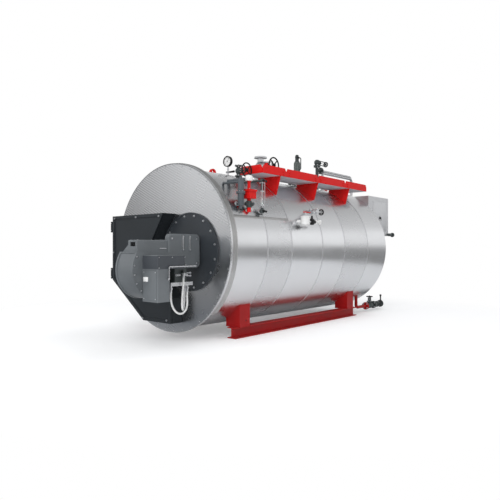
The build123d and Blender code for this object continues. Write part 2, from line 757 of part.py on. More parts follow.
def oil_manifold():
    """Angled bar under the pump block with the tails of the hoses."""
    high = PUMP_H[0]
    low = high - MANIFOLD_THICK
    bar = block((PUMP_X[1] - MANIFOLD_WIDTH, PUMP_X[1]), MANIFOLD_Y, (low, high))
    foot_y = (MANIFOLD_Y[1] - MANIFOLD_FOOT_LENGTH, MANIFOLD_Y[1])
    bar += block((MANIFOLD_FOOT_X, PUMP_X[1]), foot_y, (low, high))
    for x, y, h in (SUPPLY_ROUTE[0], SUPPLY_ROUTE[-1], RETURN_ROUTE[-1]):
        bar += rod(at(x, y, h), Z_DIR, HOSE_TAIL_R, low - h + MANIFOLD_THICK / 2)
    return bar


def hose(route):
    """A hose along its route, each bend as wide as its two runs allow."""
    points = [Vector(*at(*point)) for point in route]
    radii = []
    for before, here, after in zip(points, points[1:], points[2:]):
        turn = radians((here - before).get_angle(after - here))
        run = min((here - before).length, (after - here).length)
        radii.append(0.45 * run / tan(turn / 2))
    path = FilletPolyline(*points, radius=radii)
    section = Plane(origin=path @ 0, z_dir=path % 0) * Circle(HOSE_R)
    tube = sweep(section, path=path)
    print("hose length", round(path.length), "bend radii", [round(value) for value in radii])
    print("hose volume by length", round(tube.volume / (pi * HOSE_R ** 2 * path.length), 4))
    return tube


def oil_hose_supply():
    """Hose from the front of the manifold round to its rear."""
    return hose(SUPPLY_ROUTE)


def oil_hose_return():
    """Hose from the pump elbow down and back to the manifold."""
    return hose(RETURN_ROUTE)


def oil_pipes():
    """Bent pipe from the block round the switch housing to the control cabinet."""
    out_x = CABINET_X[1] + OIL_PIPE_STANDOFF
    rear_y = PUMP_Y[1] - OIL_PIPE_INSET
    points = [
        at(PUMP_X[1], rear_y, OIL_PIPE_H), at(out_x, rear_y, OIL_PIPE_H), at(out_x, OIL_PIPE_FRONT_Y, OIL_PIPE_H),
        at(out_x, OIL_PIPE_FRONT_Y, OIL_PIPE_LOW_H), at(CABINET_X[1], OIL_PIPE_FRONT_Y, OIL_PIPE_LOW_H),
    ]
    return bent_pipe(points, OIL_PIPE_R, 2 * OIL_PIPE_R)


# Walkway

WALK_X = (WALK_INNER_X, WALK_INNER_X + WALK_WIDTH)
WALK_Y = (WALK_FRONT_Y, SHELL_LENGTH - WALK_REAR_GAP)
WALK_FLOOR_H = SHELL_R - WALK_DROP


def walkway_floor():
    """Floor plate along the shoulder."""
    return block(WALK_X, WALK_Y, (WALK_FLOOR_H, WALK_FLOOR_H + WALK_FLOOR_THICK))


def kerb_outline(length):
    """A kerb plate with its upper corners cut back, from its lower front corner."""
    cut = KERB_NOTCH_WIDTH / 2
    shoulder = KERB_HEIGHT - KERB_NOTCH_DEPTH
    return polygon(
        (0, 0), (length, 0), (length, shoulder), (length - cut, KERB_HEIGHT), (cut, KERB_HEIGHT), (0, shoulder),
    )


def walkway_kerb():
    """Toe plates round the floor's outer side and two ends, with a notch at each joint of the side."""
    side = kerb_outline(WALK_Y[1] - WALK_Y[0])
    joints = int((WALK_Y[1] - WALK_Y[0] - KERB_FIRST) / KERB_PLATE) + 1
    for number in range(joints):
        y = KERB_FIRST + number * KERB_PLATE
        low, high = around(y, KERB_NOTCH_WIDTH)
        side -= polygon((low, KERB_HEIGHT), (high, KERB_HEIGHT), (y, KERB_HEIGHT - KERB_NOTCH_DEPTH))
    ends = Pos(WALK_X[0], WALK_FLOOR_H) * kerb_outline(WALK_X[1] - WALK_X[0])
    return Compound([
        along_x(Pos(WALK_Y[0], WALK_FLOOR_H) * side, WALK_X[1], WALK_X[1] + KERB_THICK).solid(),
        along_y(ends, WALK_Y[0] - KERB_THICK, WALK_Y[0]).solid(),
        along_y(ends, WALK_Y[1], WALK_Y[1] + KERB_THICK).solid(),
    ])


def walkway_brackets():
    """Upright plates between the casing and the floor, at an even pitch."""
    tip_h = WALK_FLOOR_H - BRACKET_DEPTH
    outline = polygon(
        (WALK_X[0], WALK_FLOOR_H), (WALK_X[1], WALK_FLOOR_H), (WALK_X[1] - BRACKET_TIP_IN, tip_h), (WALK_X[0], tip_h),
    )
    plates = []
    for number in range(int((WALK_Y[1] - WALK_Y[0] - BRACKET_FIRST) / BRACKET_PITCH) + 1):
        y = WALK_Y[0] + BRACKET_FIRST + number * BRACKET_PITCH
        plates += on_shell(along_y(outline, y, y + BRACKET_THICK)).solids()
    return Compound(plates)


# Base

BEAM_TOP_H = BEAM_SIZE - AXIS_Z


def base_beam(side):
    """One wide-flange beam on the floor."""
    half = BEAM_SIZE / 2
    web = BEAM_WEB / 2
    shape = polygon((-half, -AXIS_Z), (half, -AXIS_Z), (half, BEAM_TOP_H), (-half, BEAM_TOP_H))
    for low, high in ((-half, -web), (web, half)):
        shape -= polygon(
            (low, BEAM_FLANGE - AXIS_Z), (high, BEAM_FLANGE - AXIS_Z),
            (high, BEAM_TOP_H - BEAM_FLANGE), (low, BEAM_TOP_H - BEAM_FLANGE),
        )
    return along_y(Pos(side * BEAM_X, 0) * shape, BEAM_FRONT_Y, SHELL_LENGTH - BEAM_REAR_GAP)


def boiler_feet():
    """Four feet: an outer plate with a hole and a cross web under the casing."""
    feet = []
    outer = BEAM_X + BEAM_SIZE / 2
    for side in (1, -1):
        for y in (FOOT_FRONT_Y, SHELL_LENGTH - FOOT_REAR_GAP - FOOT_LENGTH):
            plate_x = sorted((side * outer, side * (outer - FOOT_PLATE)))
            web_x = sorted((side * outer, side * FOOT_INNER_X))
            foot = block(plate_x, (y, y + FOOT_LENGTH), (BEAM_TOP_H, 0))
            foot += block(web_x, (y, y + FOOT_PLATE), (BEAM_TOP_H, 0))
            hole = at(side * (outer - 2 * FOOT_PLATE), y + FOOT_HOLE_Y, BEAM_TOP_H + FOOT_HOLE_UP)
            foot -= rod(hole, (side, 0, 0), FOOT_HOLE_R, 4 * FOOT_PLATE)
            feet += [solid for solid in on_shell(foot).solids() if solid.center().Z < AXIS_Z - SHELL_R / 2]
    return Compound(feet)


# Steam stop valve

STEAM_LOW_H = SHELL_R + STEAM_NOZZLE
STEAM_TOP_H = STEAM_LOW_H + STEAM_SPAN
STEAM_VALVE_H = STEAM_LOW_H + STEAM_SPAN / 2


def steam_valve_body():
    """Globe valve on a short nozzle, outlet flange upwards and stem towards the walkway."""
    centre = at(0, STEAM_Y, STEAM_VALVE_H)
    body = riser(0, STEAM_Y, STEAM_BORE_R * NECK_SHARE, STEAM_LOW_H)
    body += rod(at(0, STEAM_Y, STEAM_LOW_H), DOWN, STEAM_FLANGE_R, STEAM_FLANGE_THICK)
    body += globe_body(centre, Z_DIR, STEAM_SPAN, STEAM_BORE_R, STEAM_FLANGE_R, STEAM_FLANGE_THICK)
    body += bonnet(centre, X_DIR, Z_DIR, STEAM_BORE_R, STEAM_WHEEL_R, STEAM_WHEEL_OUT)
    body -= rod(at(0, STEAM_Y, STEAM_TOP_H - STEAM_BORE_R * BELLY_SHARE), Z_DIR, STEAM_BORE_R, STEAM_SPAN)
    bolts = PolarLocations(STEAM_BOLT_CIRCLE_R, STEAM_BOLTS, start_angle=180 / STEAM_BOLTS)
    for spot in bolts:
        body -= Pos(*at(0, STEAM_Y, STEAM_TOP_H)) * spot * Cylinder(STEAM_BOLT_R, 2 * STEAM_FLANGE_THICK + 2)
    return body


def steam_valve_handwheel():
    """Wheel of the steam stop valve."""
    return handwheel(at(STEAM_WHEEL_OUT, STEAM_Y, STEAM_VALVE_H), X_DIR, STEAM_WHEEL_R)


# Vent valve

VENT_H = crown_h(VENT_X) + VENT_RISE


def vent_valve_body():
    """Small globe valve on the shoulder with its stem to the right."""
    centre = at(VENT_X, VENT_Y, VENT_H)
    body = riser(VENT_X, VENT_Y, VENT_BORE_R * NECK_SHARE, VENT_H - VENT_SPAN / 2)
    body += globe_body(centre, Z_DIR, VENT_SPAN, VENT_BORE_R, VENT_FLANGE_R, VENT_FLANGE_THICK)
    return body + bonnet(centre, X_DIR, Z_DIR, VENT_BORE_R, VENT_WHEEL_R, VENT_WHEEL_OUT)


def vent_valve_handwheel():
    """Wheel of the vent valve."""
    return handwheel(at(VENT_X + VENT_WHEEL_OUT, VENT_Y, VENT_H), X_DIR, VENT_WHEEL_R)


# Safety valve

SAFETY_Y = SHELL_LENGTH - SAFETY_FROM_REAR


def safety_valve():
    """Spring safety valve with a side outlet, a bonnet, a cap and a lifting lever."""
    foot = SHELL_WALL / 2
    flange = foot + SAFETY_NOZZLE
    seat = flange + SAFETY_FLANGE_THICK
    joint = seat + SAFETY_BODY_HEIGHT
    spring = joint + SAFETY_JOINT_THICK
    cap = spring + SAFETY_BONNET_HEIGHT
    top = cap + SAFETY_CAP_HEIGHT
    start = at(0, SAFETY_Y, SHELL_R - foot)
    valve = turned(
        start, Z_DIR,
        (0, 0), (SAFETY_NECK_R, 0), (SAFETY_NECK_R, flange), (SAFETY_FLANGE_R, flange), (SAFETY_FLANGE_R, seat),
        (SAFETY_NECK_R, seat), (SAFETY_BODY_R, seat + SAFETY_BODY_HEIGHT / 3), (SAFETY_BODY_R, joint),
        (SAFETY_JOINT_R, joint), (SAFETY_JOINT_R, spring), (SAFETY_BONNET_R, spring), (SAFETY_BONNET_R * 0.85, cap),
        (SAFETY_CAP_R, cap), (SAFETY_CAP_R, top - SAFETY_CAP_R / 2), (SAFETY_CAP_R * 0.7, top), (0, top),
    )
    outlet = shifted(start, Z_DIR, joint - SAFETY_BODY_HEIGHT / 2)
    valve += rod(outlet, LEFT, SAFETY_OUTLET_R, SAFETY_OUTLET_REACH)
    valve += rod(shifted(outlet, LEFT, SAFETY_OUTLET_REACH), LEFT, SAFETY_FLANGE_R, SAFETY_FLANGE_THICK)
    lever_h = SHELL_R - foot + top - SAFETY_CAP_HEIGHT / 2
    grip_h = SHELL_R - foot + spring + SAFETY_JOINT_R
    lever = [
        at(0, SAFETY_Y, lever_h), at(SAFETY_LEVER_REACH, SAFETY_Y, lever_h),
        at(SAFETY_LEVER_REACH, SAFETY_Y, grip_h), at(0, SAFETY_Y, grip_h),
    ]
    return on_shell(valve + bent_pipe(lever, SAFETY_LEVER_R, 3 * SAFETY_LEVER_R))


# Feed valve and pipes

FEED_Y = SHELL_LENGTH - FEED_FROM_REAR
FEED_TEE_H = SHELL_R + FEED_TEE_RISE
FEED_VALVE_H = SHELL_R + FEED_VALVE_RISE
ECO_REAR_Y = SHELL_LENGTH + ECO_DEPTH
ECO_TOP_H = ECO_LOW_H + ECO_HEIGHT


def feed_valve_body():
    """Feed valve on a riser at the rear of the crown, with a tee below it and its stem to the rear."""
    centre = at(0, FEED_Y, FEED_VALVE_H)
    flange = FEED_FLANGE_RISE - FEED_VALVE_RISE
    belly = FEED_BORE_R * BELLY_SHARE
    body = riser(0, FEED_Y, FEED_RISER_R, FEED_VALVE_H)
    body += turned(
        centre, Z_DIR,
        (0, flange), (FEED_FLANGE_R, flange), (FEED_FLANGE_R, flange + 2 * FEED_FLANGE_THICK),
        (FEED_RISER_R, flange + 2 * FEED_FLANGE_THICK), (belly, -belly * 0.35), (belly, belly * 0.35),
        (belly * 0.6, belly * 0.9), (0, belly * 0.9),
    )
    body += bonnet(centre, Y_DIR, Z_DIR, FEED_BORE_R, FEED_WHEEL_R, FEED_WHEEL_OUT)
    tee = at(0, FEED_Y, FEED_TEE_H)
    body += rod(tee, Y_DIR, FEED_RISER_R, FEED_TEE_REACH)
    return body + rod(shifted(tee, Y_DIR, FEED_TEE_REACH), Y_DIR, FEED_FLANGE_R, FEED_FLANGE_THICK)


def feed_valve_handwheel():
    """Wheel of the feed valve."""
    return handwheel(at(0, FEED_Y + FEED_WHEEL_OUT, FEED_VALVE_H), Y_DIR, FEED_WHEEL_R)


def feed_pipes():
    """Two pipes from the feed valve over the rear end to the economiser."""
    start_y = FEED_Y + FEED_TEE_REACH + FEED_FLANGE_THICK
    far_y, near_y = (ECO_REAR_Y - distance for distance in FEED_DROP_IN)
    high = [at(0, start_y, FEED_TEE_H), at(0, far_y, FEED_TEE_H), at(0, far_y, ECO_TOP_H)]
    side = FEED_PIPE_SPACE
    lower_h = FEED_TEE_H - FEED_PIPE_STEP
    low = [
        at(side, FEED_Y, crown_h(side) - SHELL_WALL / 2), at(side, FEED_Y, lower_h), at(side, near_y, lower_h),
        at(side, near_y, ECO_TOP_H),
    ]
    bend = FEED_PIPE_R * 3
    second = on_shell(bent_pipe(low, FEED_PIPE_R, bend))
    return Compound([bent_pipe(high, FEED_PIPE_R, bend).solid(), second.solid()])


# Pressure gauge and lifting lugs

GAUGE_H = SHELL_R + GAUGE_RISE


def gauge_pipe():
    """Stand pipe of the pressure gauge with its cock."""
    pipe = riser(0, GAUGE_Y, GAUGE_PIPE_R, GAUGE_H - GAUGE_R)
    cock = at(-GAUGE_COCK_LENGTH / 2, GAUGE_Y, SHELL_R + GAUGE_COCK_RISE)
    pipe += rod(cock, X_DIR, GAUGE_COCK_R, GAUGE_COCK_LENGTH)
    return pipe + rod(cock, X_DIR, GAUGE_HANDLE_R, GAUGE_COCK_LENGTH + GAUGE_HANDLE_LENGTH)


def pressure_gauge():
    """Round dial case facing the burner end."""
    case = turned(
        at(0, GAUGE_Y + GAUGE_DEPTH / 2, GAUGE_H), FRONT,
        (0, 0), (GAUGE_R * 0.9, 0), (GAUGE_R, GAUGE_DEPTH * 0.2), (GAUGE_R, GAUGE_DEPTH),
        (GAUGE_R * 0.9, GAUGE_DEPTH), (GAUGE_R * 0.88, GAUGE_DEPTH * 0.8), (0, GAUGE_DEPTH * 0.8),
    )
    return case - rod(at(0, GAUGE_Y, GAUGE_H - 2 * GAUGE_R), Z_DIR, GAUGE_PIPE_R + FIT, GAUGE_R)


def lifting_lugs():
    """Two eye plates on the crown."""
    lugs = []
    for y in (LUG_FRONT_Y, SHELL_LENGTH - LUG_REAR_GAP):
        middle = SHELL_R + LUG_R * 0.3
        outline = Pos(y, middle) * Circle(LUG_R) + polygon(
            (y - LUG_R, middle), (y + LUG_R, middle), (y + LUG_R, SHELL_R - LUG_R), (y - LUG_R, SHELL_R - LUG_R),
        )
        outline -= Pos(y, middle + LUG_R * 0.3) * Circle(LUG_HOLE_R)
        lugs.append(on_shell(along_x(outline, -LUG_THICK / 2, LUG_THICK / 2)).solid())
    return Compound(lugs)


# Level fittings on the right shoulder

COCK_UPPER_H = SHELL_R - COCK_UPPER_DROP
COCK_LOWER_H = SHELL_R - COCK_LOWER_DROP
GLASS_TOP_H = SHELL_R - GLASS_DROP
GLASS_X = shell_x(COCK_LOWER_H) + GLASS_OUT
LEVEL_X = shell_x(COCK_LOWER_H) + LEVEL_OUT


def level_bottle():
    """Upright float bottle piped to the casing at its foot and head."""
    high = SHELL_R - BOTTLE_DROP
    low = high - BOTTLE_HEIGHT
    x = shell_x(low) + BOTTLE_OUT
    bottle = turned(
        at(x, BOTTLE_Y, low), Z_DIR,
        (0, 0), (BOTTLE_R * 0.6, 0), (BOTTLE_R, BOTTLE_DOME), (BOTTLE_R, BOTTLE_HEIGHT - BOTTLE_DOME),
        (BOTTLE_R * 0.6, BOTTLE_HEIGHT), (0, BOTTLE_HEIGHT),
    )
    for h in (low + 2 * BOTTLE_DOME, high - 2 * BOTTLE_DOME):
        bottle += stub_to_shell(x, BOTTLE_Y, h, BOTTLE_PIPE_R)
    return on_shell(bottle)


def level_controller():
    """Level switch: a stand pipe with a lidded head box, a neck and a capped top."""
    box_top = SHELL_R - LEVEL_BOX_DROP
    box_low = box_top - LEVEL_BOX_HEIGHT
    lid_low = box_top - LEVEL_LID_THICK
    wide_x = around(LEVEL_X, LEVEL_BOX_WIDTH)
    wide_y = around(LEVEL_Y, LEVEL_BOX_LENGTH)
    body = rod(at(LEVEL_X, LEVEL_Y, COCK_LOWER_H - LEVEL_PIPE_R), Z_DIR, LEVEL_PIPE_R, box_low - COCK_LOWER_H + LEVEL_PIPE_R)
    body += block(wide_x, wide_y, (box_low, lid_low))
    lid_x = (wide_x[0] - LEVEL_LID_STEP, wide_x[1] + LEVEL_LID_STEP)
    lid_y = (wide_y[0] - LEVEL_LID_STEP, wide_y[1] + LEVEL_LID_STEP)
    body += block(lid_x, lid_y, (lid_low, box_top))
    body += rod(at(LEVEL_X, LEVEL_Y, box_top), Z_DIR, LEVEL_NECK_R, COCK_UPPER_H - box_top)
    head = at(LEVEL_X, LEVEL_Y, COCK_UPPER_H - LEVEL_HEAD_HEIGHT / 2)
    body += rod(head, Z_DIR, LEVEL_HEAD_R, LEVEL_HEAD_HEIGHT)
    for h in (COCK_LOWER_H, COCK_UPPER_H):
        body += stub_to_shell(LEVEL_X, LEVEL_Y, h, LEVEL_STUB_R)
    return on_shell(body)


def level_gauge_cocks():
    """Upper and lower cocks of the water gauge, piped to the casing, each with a lever to the rear."""
    cocks = []
    for h, glass_h in ((COCK_LOWER_H, GLASS_TOP_H - GLASS_HEIGHT), (COCK_UPPER_H, GLASS_TOP_H)):
        low, high = sorted((h, glass_h))
        cock = stub_to_shell(GLASS_X + COCK_R, GLASS_Y, h, COCK_R)
        cock += rod(at(GLASS_X, GLASS_Y, h - COCK_NUT_R), Z_DIR, COCK_NUT_R, 2 * COCK_NUT_R)
        cock += rod(at(GLASS_X, GLASS_Y, low), Z_DIR, COCK_R * 1.2, high - low)
        cock += rod(at(GLASS_X, GLASS_Y, h), Y_DIR, COCK_HANDLE_R, COCK_NUT_R + COCK_HANDLE_LENGTH)
        cocks.append(on_shell(cock).solid())
    return Compound(cocks)


def level_gauge_glass():
    """Glass tube between the two cocks."""
    return rod(at(GLASS_X, GLASS_Y, GLASS_TOP_H), DOWN, GLASS_R, GLASS_HEIGHT)


# Sample cooler and salinity valve on the right side

SAMPLE_X = SHELL_R + SAMPLE_OUT
SALT_X = SHELL_R + SALT_OUT


def sample_cooler():
    """Small upright pot on a stub, with a cock on a pipe along the casing."""
    pot = turned(
        at(SAMPLE_X, SAMPLE_Y, SAMPLE_H - SAMPLE_POT_HEIGHT / 2), Z_DIR,
        (0, 0), (SAMPLE_POT_R * 0.7, 0), (SAMPLE_POT_R, SAMPLE_POT_TAPER), (SAMPLE_POT_R, SAMPLE_POT_HEIGHT),
        (0, SAMPLE_POT_HEIGHT),
    )
    pot += stub_to_shell(SAMPLE_X, SAMPLE_Y, SAMPLE_H, SAMPLE_STUB_R)
    cock = SAMPLE_POT_R + SAMPLE_PIPE_LENGTH
    stem = cock + SAMPLE_COCK_LENGTH
    handle = stem + SAMPLE_COCK_LENGTH / 2
    end = handle + SAMPLE_HANDLE_THICK
    pot += turned(
        at(SAMPLE_X, SAMPLE_Y, SAMPLE_H), Y_DIR,
        (0, 0), (SAMPLE_PIPE_R, 0), (SAMPLE_PIPE_R, cock), (SAMPLE_COCK_R, cock + SAMPLE_PIPE_R),
        (SAMPLE_COCK_R, stem - SAMPLE_PIPE_R), (SAMPLE_PIPE_R, stem), (SAMPLE_PIPE_R, handle),
        (SAMPLE_HANDLE_R, handle), (SAMPLE_HANDLE_R, end), (0, end),
    )
    return on_shell(pot)


def salinity_valve_body():
    """Small globe valve on a stub from the casing with its stem to the rear."""
    centre = at(SALT_X, SALT_Y, SALT_H)
    body = stub_to_shell(SALT_X, SALT_Y, SALT_H, SALT_STUB_R)
    body += globe_body(centre, X_DIR, SALT_SPAN, SALT_BORE_R, SALT_FLANGE_R, SALT_FLANGE_THICK)
    return on_shell(body + bonnet(centre, Y_DIR, X_DIR, SALT_BORE_R, SALT_WHEEL_R, SALT_WHEEL_OUT))


def salinity_valve_handwheel():
    """Wheel of the salinity valve."""
    return handwheel(at(SALT_X, SALT_Y + SALT_WHEEL_OUT, SALT_H), Y_DIR, SALT_WHEEL_R)


# Economiser and rear end

FLUE_H = ECO_LOW_H + ECO_HEIGHT / 2


def economiser_casing():
    """Sheet-metal box behind the rear end with the flue opening in its back."""
    wide = around(0, 2 * ECO_HALF_WIDTH)
    casing = block(wide, (SHELL_LENGTH, ECO_REAR_Y), (ECO_LOW_H, ECO_TOP_H))
    casing -= block(
        around(0, 2 * (ECO_HALF_WIDTH - ECO_WALL)), (SHELL_LENGTH + ECO_WALL, ECO_REAR_Y - ECO_WALL),
        (ECO_LOW_H + ECO_WALL, ECO_TOP_H - ECO_WALL),
    )
    return casing - rod(at(0, ECO_REAR_Y - 2 * ECO_WALL, FLUE_H), Y_DIR, FLUE_R, 3 * ECO_WALL)


def flue_outlet():
    """Round flue spigot on the back of the economiser."""
    start = at(0, ECO_REAR_Y, FLUE_H)
    outer = rod(start, Y_DIR, FLUE_R + FLUE_WALL, FLUE_LENGTH)
    outer += rod(start, Y_DIR, FLUE_R + FLUE_WALL + FLUE_COLLAR, FLUE_WALL)
    return outer - rod(start, Y_DIR, FLUE_R, FLUE_LENGTH)


def economiser_drain():
    """Drain cock beside the economiser's lower rear corner, with a wheel on its stem to the rear."""
    start = at(ECO_HALF_WIDTH, ECO_REAR_Y - DRAIN_IN, ECO_LOW_H + DRAIN_UP)
    stem = DRAIN_PIPE_R + DRAIN_COCK_LENGTH
    handle = stem + DRAIN_STEM_LENGTH
    end = handle + DRAIN_HANDLE_THICK
    drain = rod(start, X_DIR, DRAIN_PIPE_R, DRAIN_REACH)
    return drain + turned(
        shifted(start, X_DIR, DRAIN_REACH), Y_DIR,
        (0, -DRAIN_COCK_R), (DRAIN_COCK_R / 2, -DRAIN_COCK_R), (DRAIN_COCK_R, 0),
        (DRAIN_COCK_R, stem - DRAIN_PIPE_R), (DRAIN_PIPE_R, stem), (DRAIN_STEM_R, stem), (DRAIN_STEM_R, handle),
        (DRAIN_HANDLE_R, handle), (DRAIN_HANDLE_R, end), (0, end),
    )


def rear_inspection_cover():
    """Round cover with a bevelled edge on the lower part of the rear end."""
    return turned(
        at(0, SHELL_LENGTH, COVER_H), Y_DIR,
        (0, 0), (COVER_R, 0), (COVER_R, COVER_THICK / 2), (COVER_R - COVER_BEVEL, COVER_THICK), (0, COVER_THICK),
    )


# Blow-down line

BLOW_H = BLOW_UP - AXIS_Z
FIRST_FLANGE_Y = SHELL_LENGTH + BLOW_OVERHANG
SHUTOFF_Y = FIRST_FLANGE_Y + BLOW_VALVE_LENGTH / 2
QUICK_Y = SHUTOFF_Y + BLOW_VALVE_LENGTH
LEVER_X = BLOW_X + BLOW_BOSS_REACH + MOVE_GAP + BLOW_LEVER_THICK / 2


def blowdown_pipe():
    """Pipe from the casing's underside, bent to the rear, with its flange."""
    y = SHELL_LENGTH - BLOW_REAR_GAP
    points = [
        at(BLOW_X, y, SHELL_WALL / 2 - crown_h(BLOW_X)), at(BLOW_X, y, BLOW_H), at(BLOW_X, FIRST_FLANGE_Y, BLOW_H),
    ]
    pipe = on_shell(bent_pipe(points, BLOW_PIPE_R, BLOW_BEND_R))
    return pipe + rod(at(BLOW_X, FIRST_FLANGE_Y, BLOW_H), FRONT, BLOW_FLANGE_R, BLOW_FLANGE_THICK)


def blow_valve(middle_y):
    """Flanged body of one of the two valves in the line."""
    centre = at(BLOW_X, middle_y, BLOW_H)
    return globe_body(centre, Y_DIR, BLOW_VALVE_LENGTH, BLOW_PIPE_R, BLOW_FLANGE_R, BLOW_FLANGE_THICK)


def blowdown_shutoff_valve():
    """First valve, with a stem that carries a wheel."""
    centre = at(BLOW_X, SHUTOFF_Y, BLOW_H)
    return blow_valve(SHUTOFF_Y) + bonnet(centre, Z_DIR, Y_DIR, BLOW_PIPE_R, BLOW_WHEEL_R, BLOW_WHEEL_OUT)


def blowdown_handwheel():
    """Wheel of the shut-off valve."""
    return handwheel(at(BLOW_X, SHUTOFF_Y, BLOW_H + BLOW_WHEEL_OUT), Z_DIR, BLOW_WHEEL_R)


def blowdown_quick_valve():
    """Second valve, worked by a lever on its side spindle, with an open outlet."""
    centre = at(BLOW_X, QUICK_Y, BLOW_H)
    valve = blow_valve(QUICK_Y)
    valve += rod(centre, X_DIR, BLOW_PIPE_R, BLOW_BOSS_REACH)
    valve += rod(centre, X_DIR, BLOW_SPINDLE_R, LEVER_X - BLOW_X + BLOW_LEVER_THICK)
    outlet = shifted(centre, Y_DIR, BLOW_VALVE_LENGTH / 2)
    return valve - rod(outlet, FRONT, BLOW_PIPE_R * 0.8, BLOW_VALVE_LENGTH / 3)


def blowdown_lever():
    """Lever of the quick valve, upright when shut."""
    thick = around(LEVER_X, BLOW_LEVER_THICK)
    hub_r = BLOW_SPINDLE_R * 2
    lever = rod(at(thick[0], QUICK_Y, BLOW_H), X_DIR, hub_r, BLOW_LEVER_THICK)
    lever += block(thick, around(QUICK_Y, BLOW_LEVER_WIDTH), (BLOW_H, BLOW_H + BLOW_LEVER_LENGTH))
    return lever - rod(at(BLOW_X, QUICK_Y, BLOW_H), X_DIR, BLOW_SPINDLE_R + FIT, 2 * (LEVER_X - BLOW_X))


NODES = {
    "shell_casing": shell_casing,
    "front_end_plate": front_end_plate,
    "front_hood_rim": front_hood_rim,
    "rear_end_plate": rear_end_plate,
    "tube_plate": tube_plate,
    "smoke_box_housing": smoke_box_housing,
    "smoke_box_door": smoke_box_door,
    "smoke_box_hinges": smoke_box_hinges,
    "burner_mounting_plate": burner_mounting_plate,
    "burner_head_housing": burner_head_housing,
    "burner_fan_scroll": burner_fan_scroll,
    "burner_air_intake": burner_air_intake,
    "burner_control_cabinet": burner_control_cabinet,
    "burner_switch_housing": burner_switch_housing,
    "burner_motor": burner_motor,
    "oil_pump_block": oil_pump_block,
    "oil_pipes": oil_pipes,
    "oil_manifold": oil_manifold,
    "oil_hose_supply": oil_hose_supply,
    "oil_hose_return": oil_hose_return,
    "walkway_floor": walkway_floor,
    "walkway_kerb": walkway_kerb,
    "walkway_brackets": walkway_brackets,
    "base_beam_right": lambda: base_beam(1),
    "base_beam_left": lambda: base_beam(-1),
    "boiler_feet": boiler_feet,
    "steam_valve_body": steam_valve_body,
    "steam_valve_handwheel": steam_valve_handwheel,
    "vent_valve_body": vent_valve_body,
    "vent_valve_handwheel": vent_valve_handwheel,
    "safety_valve": safety_valve,
    "feed_valve_body": feed_valve_body,
    "feed_valve_handwheel": feed_valve_handwheel,
    "feed_pipes": feed_pipes,
    "gauge_pipe": gauge_pipe,
    "pressure_gauge": pressure_gauge,
    "lifting_lugs": lifting_lugs,
    "level_bottle": level_bottle,
    "level_controller": level_controller,
    "level_gauge_cocks": level_gauge_cocks,
    "level_gauge_glass": level_gauge_glass,
    "sample_cooler": sample_cooler,
    "salinity_valve_body": salinity_valve_body,
    "salinity_valve_handwheel": salinity_valve_handwheel,
    "economiser_casing": economiser_casing,
    "flue_outlet": flue_outlet,
    "economiser_drain": economiser_drain,
    "rear_inspection_cover": rear_inspection_cover,
    "blowdown_pipe": blowdown_pipe,
    "blowdown_shutoff_valve": blowdown_shutoff_valve,
    "blowdown_handwheel": blowdown_handwheel,
    "blowdown_quick_valve": blowdown_quick_valve,
    "blowdown_lever": blowdown_lever,
}

os.makedirs("parts", exist_ok=True)
pieces = {name: make() for name, make in NODES.items()}
whole = Compound(list(pieces.values())).bounding_box()
centring = Pos(-(whole.min.X + whole.max.X) / 2, -(whole.min.Y + whole.max.Y) / 2, 0)
print("moved to the origin by", [round(value, 3) for value in centring.position])
for name, piece in pieces.items():
    export_step(centring * piece, f"parts/{name}.step")
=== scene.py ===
# %% [markdown]
# # An industrial steam boiler
# This lesson dresses a horizontal steam boiler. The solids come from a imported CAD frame, which is
# loaded first and never moved. Every step after that adds what a drawing leaves out: the hoses'
# hang, the sheet metal's gloss, the bolts, laps and seams, and a plain studio to look at it in.

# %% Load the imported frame
import json
from math import cos, pi, radians, sin, sqrt

import bmesh
import bpy
from mathutils import Matrix, Vector


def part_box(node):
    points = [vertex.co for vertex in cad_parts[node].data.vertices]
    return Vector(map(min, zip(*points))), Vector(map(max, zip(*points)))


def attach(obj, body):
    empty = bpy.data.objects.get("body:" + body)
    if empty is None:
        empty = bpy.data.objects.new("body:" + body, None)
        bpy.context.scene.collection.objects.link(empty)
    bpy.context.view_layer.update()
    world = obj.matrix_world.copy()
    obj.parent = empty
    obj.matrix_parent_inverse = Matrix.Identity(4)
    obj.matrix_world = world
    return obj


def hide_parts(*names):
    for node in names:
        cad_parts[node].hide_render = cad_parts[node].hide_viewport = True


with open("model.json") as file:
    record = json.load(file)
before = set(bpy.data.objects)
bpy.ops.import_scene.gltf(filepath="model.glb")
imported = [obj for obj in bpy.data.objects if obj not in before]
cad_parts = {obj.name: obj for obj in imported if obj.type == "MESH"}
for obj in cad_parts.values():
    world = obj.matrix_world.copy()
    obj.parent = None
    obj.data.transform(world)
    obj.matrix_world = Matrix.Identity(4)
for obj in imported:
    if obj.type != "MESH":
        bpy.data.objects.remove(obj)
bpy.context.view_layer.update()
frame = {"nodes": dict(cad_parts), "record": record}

# %% [markdown]
# ## A ruler on the boiler
# All places are measured in millimetres the way a fitter would: to the right of the boiler's axis,
# back from its front face, and up from the axis. The ruler's zero is read from the loaded solids,
# so it follows the frame.

# %% Where the boiler's axis and front face are
MM = 0.001
casing_low, casing_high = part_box("shell_casing")
axis_x = (casing_low.x + casing_high.x) / 2
axis_z = (casing_low.z + casing_high.z) / 2
face_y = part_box("front_end_plate")[0].y


def spot(right, back, up):
    """A point given in millimetres from the boiler's axis and front face."""
    return Vector((axis_x + right * MM, face_y + back * MM, axis_z + up * MM))


print("axis at", round(axis_x, 4), round(axis_z, 4), "front face at", round(face_y, 4))

# %% [markdown]
# ## The camera
# The photograph looks along the boiler's right side from the burner end, at about axis height, so
# the verticals stay upright. The lens and the standpoint were worked out from the round hood and
# the barrel's outline.

# %% Camera at the photograph's standpoint
STANDPOINT = (4982, -4254, -27)
LOOK_LEFT = 40.49
LENS = 36.55

